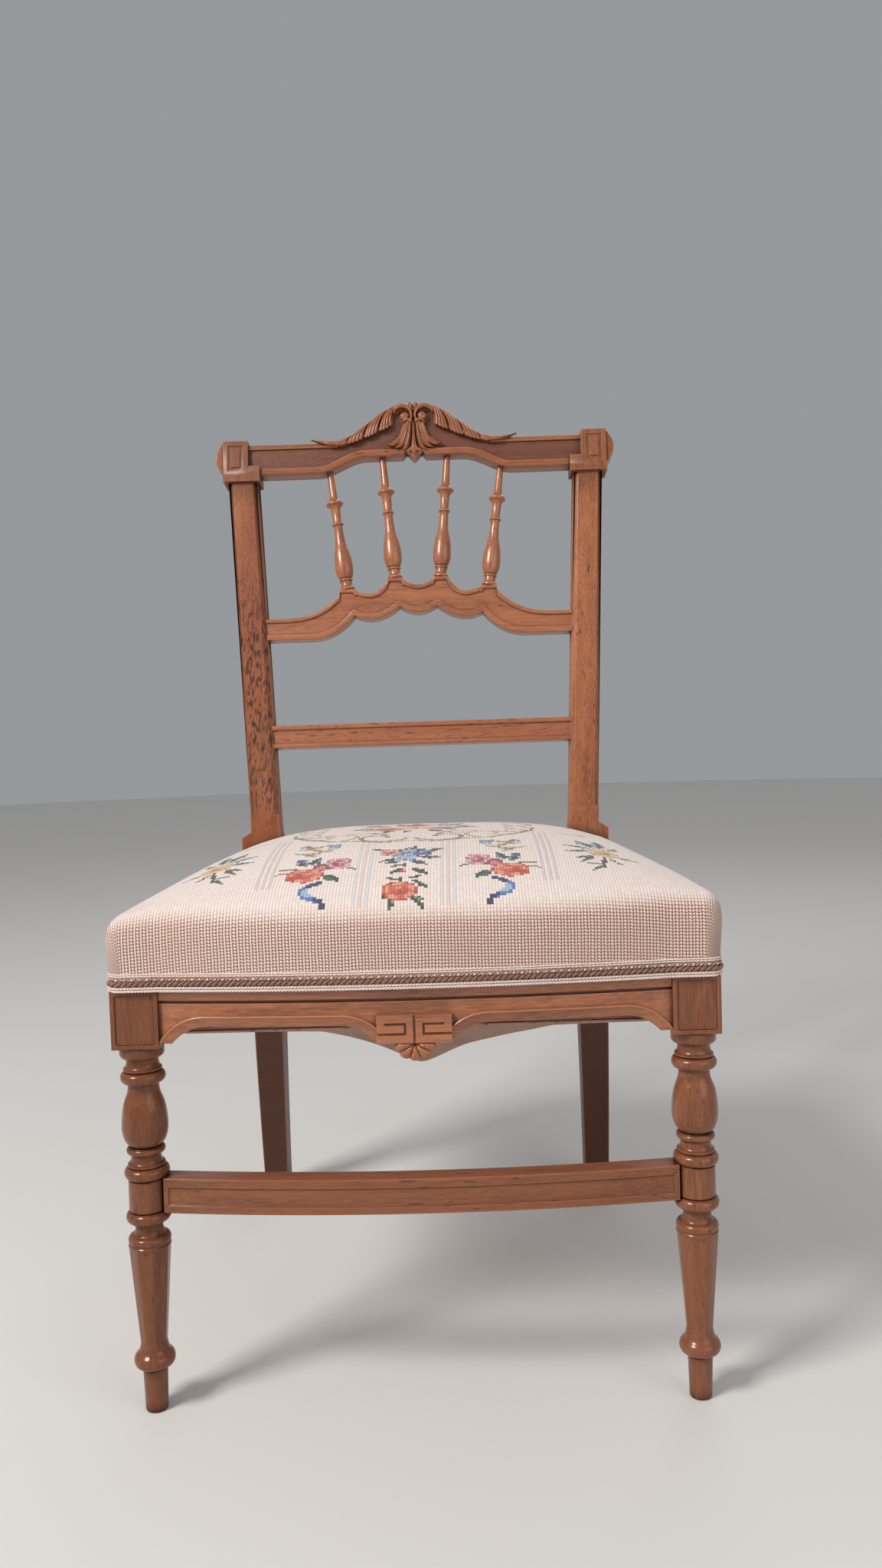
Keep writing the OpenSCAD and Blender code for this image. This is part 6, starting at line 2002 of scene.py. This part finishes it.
class CHAIR_OT_springs(Operator):
    """Winds the waisted springs that stand on the webbing"""
    bl_idname = "chair.springs"
    bl_label = "Springs"

    def execute(self, context):
        routes = []
        for cx, cy in SPRING_PLACES:
            route = []
            steps = SPRING_TURNS * SPRING_STEPS
            for i in range(steps + 1):
                t = i / steps
                a = 2 * math.pi * SPRING_TURNS * t
                r = SPRING_WAIST + SPRING_FLARE * abs(2 * t - 1) ** 1.6
                x, y = cx + r * math.cos(a), cy + r * math.sin(a)
                low = WEB_LEVEL + WEB_LIFT + WEB_T / 2 - SAG * slack(x, y) + WIRE_R + 0.7
                high = canvas_height(x, y) - WIRE_R - 0.3
                route.append(spot(x, y, lerp(low, high, t)))
            routes.append(route)
        cords("seat_springs_wire", routes, WIRE_R * MM, old_iron("Spring wire", (0.42, 0.38, 0.34)),
              ["seat_springs"], sides=2)
        return {"FINISHED"}


# The camera stands where the photograph's stood
CAMERA_SPOT = (36.2, -855, 500)
CAMERA_YAW = -0.83
CAMERA_PITCH = 2.7
CAMERA_ROLL = -1.8
FOCAL_PIXELS = 1540
IMAGE_HEIGHT = 2048
SENSOR = 36.0

# Name, place, target and size of each lamp, the setting for its power, its share of it, and colour
LAMPS = (
    ("Key lamp", (-1.6, -1.45, 2.2), (0, 0, 0.45), 0.75, "key", 1.0, (1.0, 0.97, 0.93)),
    ("Fill lamp", (1.7, -1.8, 1.2), (0, 0, 0.4), 1.8, "fill", 1.0, (1.0, 0.98, 0.96)),
    ("Rear lamp", (0.6, 2.0, 2.3), (0, 0, 0.5), 1.6, "fill", 0.6, (1.0, 1.0, 1.0)),
)
FLOOR_RADIUS = 9


def area_lamp(name, place, target, size, power, colour):
    """A soft square lamp that looks at a target."""
    data = bpy.data.lights.new(name, "AREA")
    data.shape = "SQUARE"
    data.size = size
    data.energy = power
    data.color = colour
    lamp = bpy.data.objects.new(name, data)
    lamp.location = place
    lamp.rotation_mode = "QUATERNION"
    lamp.rotation_quaternion = (Vector(target) - Vector(place)).to_track_quat("-Z", "Y")
    bpy.context.scene.collection.objects.link(lamp)


class CHAIR_OT_stage(Operator):
    """Sets the floor, the lamps, the sky and the camera"""
    bl_idname = "chair.stage"
    bl_label = "Stage"

    def execute(self, context):
        look = settings("stage")
        scene = context.scene
        scene.view_settings.view_transform = "Standard"
        paint = Paint("Studio floor")
        cloud = paint.even_noise(1.5, detail=3)
        tone = paint.mix(cloud * 0.3, linear(look.floor), linear(dimmed(look.floor, 0.94)))
        material = paint.finish(Base_Color=tone, Roughness=0.75)
        bm = bmesh.new()
        bmesh.ops.create_circle(bm, cap_ends=True, segments=96, radius=FLOOR_RADIUS)
        mesh = bpy.data.meshes.new("studio_floor")
        bm.to_mesh(mesh)
        bm.free()
        mesh.materials.append(material)
        floor = bpy.data.objects.new("studio_floor", mesh)
        scene.collection.objects.link(floor)
        sky = Paint("Soft sky", "worlds")
        seen = sky.node("ShaderNodeLightPath", output="Is Camera Ray")
        glow = sky.node("ShaderNodeBackground", {}, {
            "Color": (0.98, 0.98, 1.0, 1), "Strength": look.sky})
        wall = sky.node("ShaderNodeBackground", {}, {
            "Color": (0.93, 0.97, 1.0, 1), "Strength": look.backdrop})
        light = sky.node("ShaderNodeMixShader", {}, [seen, glow, wall])
        sky.node("ShaderNodeOutputWorld", {}, {"Surface": light})
        scene.world = sky.material
        for name, place, target, size, power, share, colour in LAMPS:
            area_lamp(name, place, target, size, share * getattr(look, power), colour)
        self.place_camera(scene)
        return {"FINISHED"}

    @staticmethod
    def place_camera(scene):
        """Puts the camera at the photograph's viewing angle."""
        yaw, pitch, roll = (math.radians(a) for a in (CAMERA_YAW, CAMERA_PITCH, CAMERA_ROLL))
        axes = Matrix(((1, 0, 0), (0, 0, -1), (0, 1, 0)))
        turn = Matrix.Rotation(roll, 3, "Z") @ Matrix.Rotation(pitch, 3, "X") @ axes
        turn = turn @ Matrix.Rotation(yaw, 3, "Z")
        data = bpy.data.cameras.new("Camera")
        data.sensor_width = SENSOR
        data.lens = FOCAL_PIXELS / IMAGE_HEIGHT * SENSOR
        camera = bpy.data.objects.new("Camera", data)
        right, down, ahead = turn
        pose = Matrix((right, -down, -ahead)).transposed().to_4x4()
        camera.matrix_world = Matrix.Translation(spot(*CAMERA_SPOT)) @ pose
        scene.collection.objects.link(camera)
        scene.camera = camera


OPERATORS = (
    CHAIR_OT_stage, CHAIR_OT_front_legs, CHAIR_OT_rear_legs, CHAIR_OT_seat_frame,
    CHAIR_OT_front_rail, CHAIR_OT_shell, CHAIR_OT_crest, CHAIR_OT_back_rails, CHAIR_OT_spindles,
    CHAIR_OT_webbing, CHAIR_OT_springs, CHAIR_OT_canvas, CHAIR_OT_stuffing,
    CHAIR_OT_needlepoint, CHAIR_OT_braid)
GROUPS = {"wood": ChairWoodSettings, "carving": ChairCarvingSettings,
          "cover": ChairCoverSettings, "stage": ChairStageSettings}


class CHAIR_PT_panel(Panel):
    """Lists the pieces of the chair"""
    bl_idname = "CHAIR_PT_panel"
    bl_label = "Low Side Chair"
    bl_space_type = "VIEW_3D"
    bl_region_type = "UI"
    bl_category = "Chair"

    def draw(self, context):
        for name in GROUPS:
            box = self.layout.box()
            for key in GROUPS[name].__annotations__:
                box.prop(settings(name), key)
        for operator in OPERATORS:
            self.layout.operator(operator.bl_idname)


def register():
    for group in GROUPS.values():
        bpy.utils.register_class(group)
    for name, group in GROUPS.items():
        setattr(bpy.types.Scene, "chair_" + name, PointerProperty(type=group))
    for operator in OPERATORS:
        bpy.utils.register_class(operator)
    bpy.utils.register_class(CHAIR_PT_panel)


def unregister():
    bpy.utils.unregister_class(CHAIR_PT_panel)
    for operator in reversed(OPERATORS):
        bpy.utils.unregister_class(operator)
    for name, group in GROUPS.items():
        delattr(bpy.types.Scene, "chair_" + name)
        bpy.utils.unregister_class(group)


def main():
    """Builds every piece in order."""
    register()
    for operator in OPERATORS:
        group, name = operator.bl_idname.split(".")
        getattr(getattr(bpy.ops, group), name)()
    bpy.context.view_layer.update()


if __name__ == "__main__":
    main()
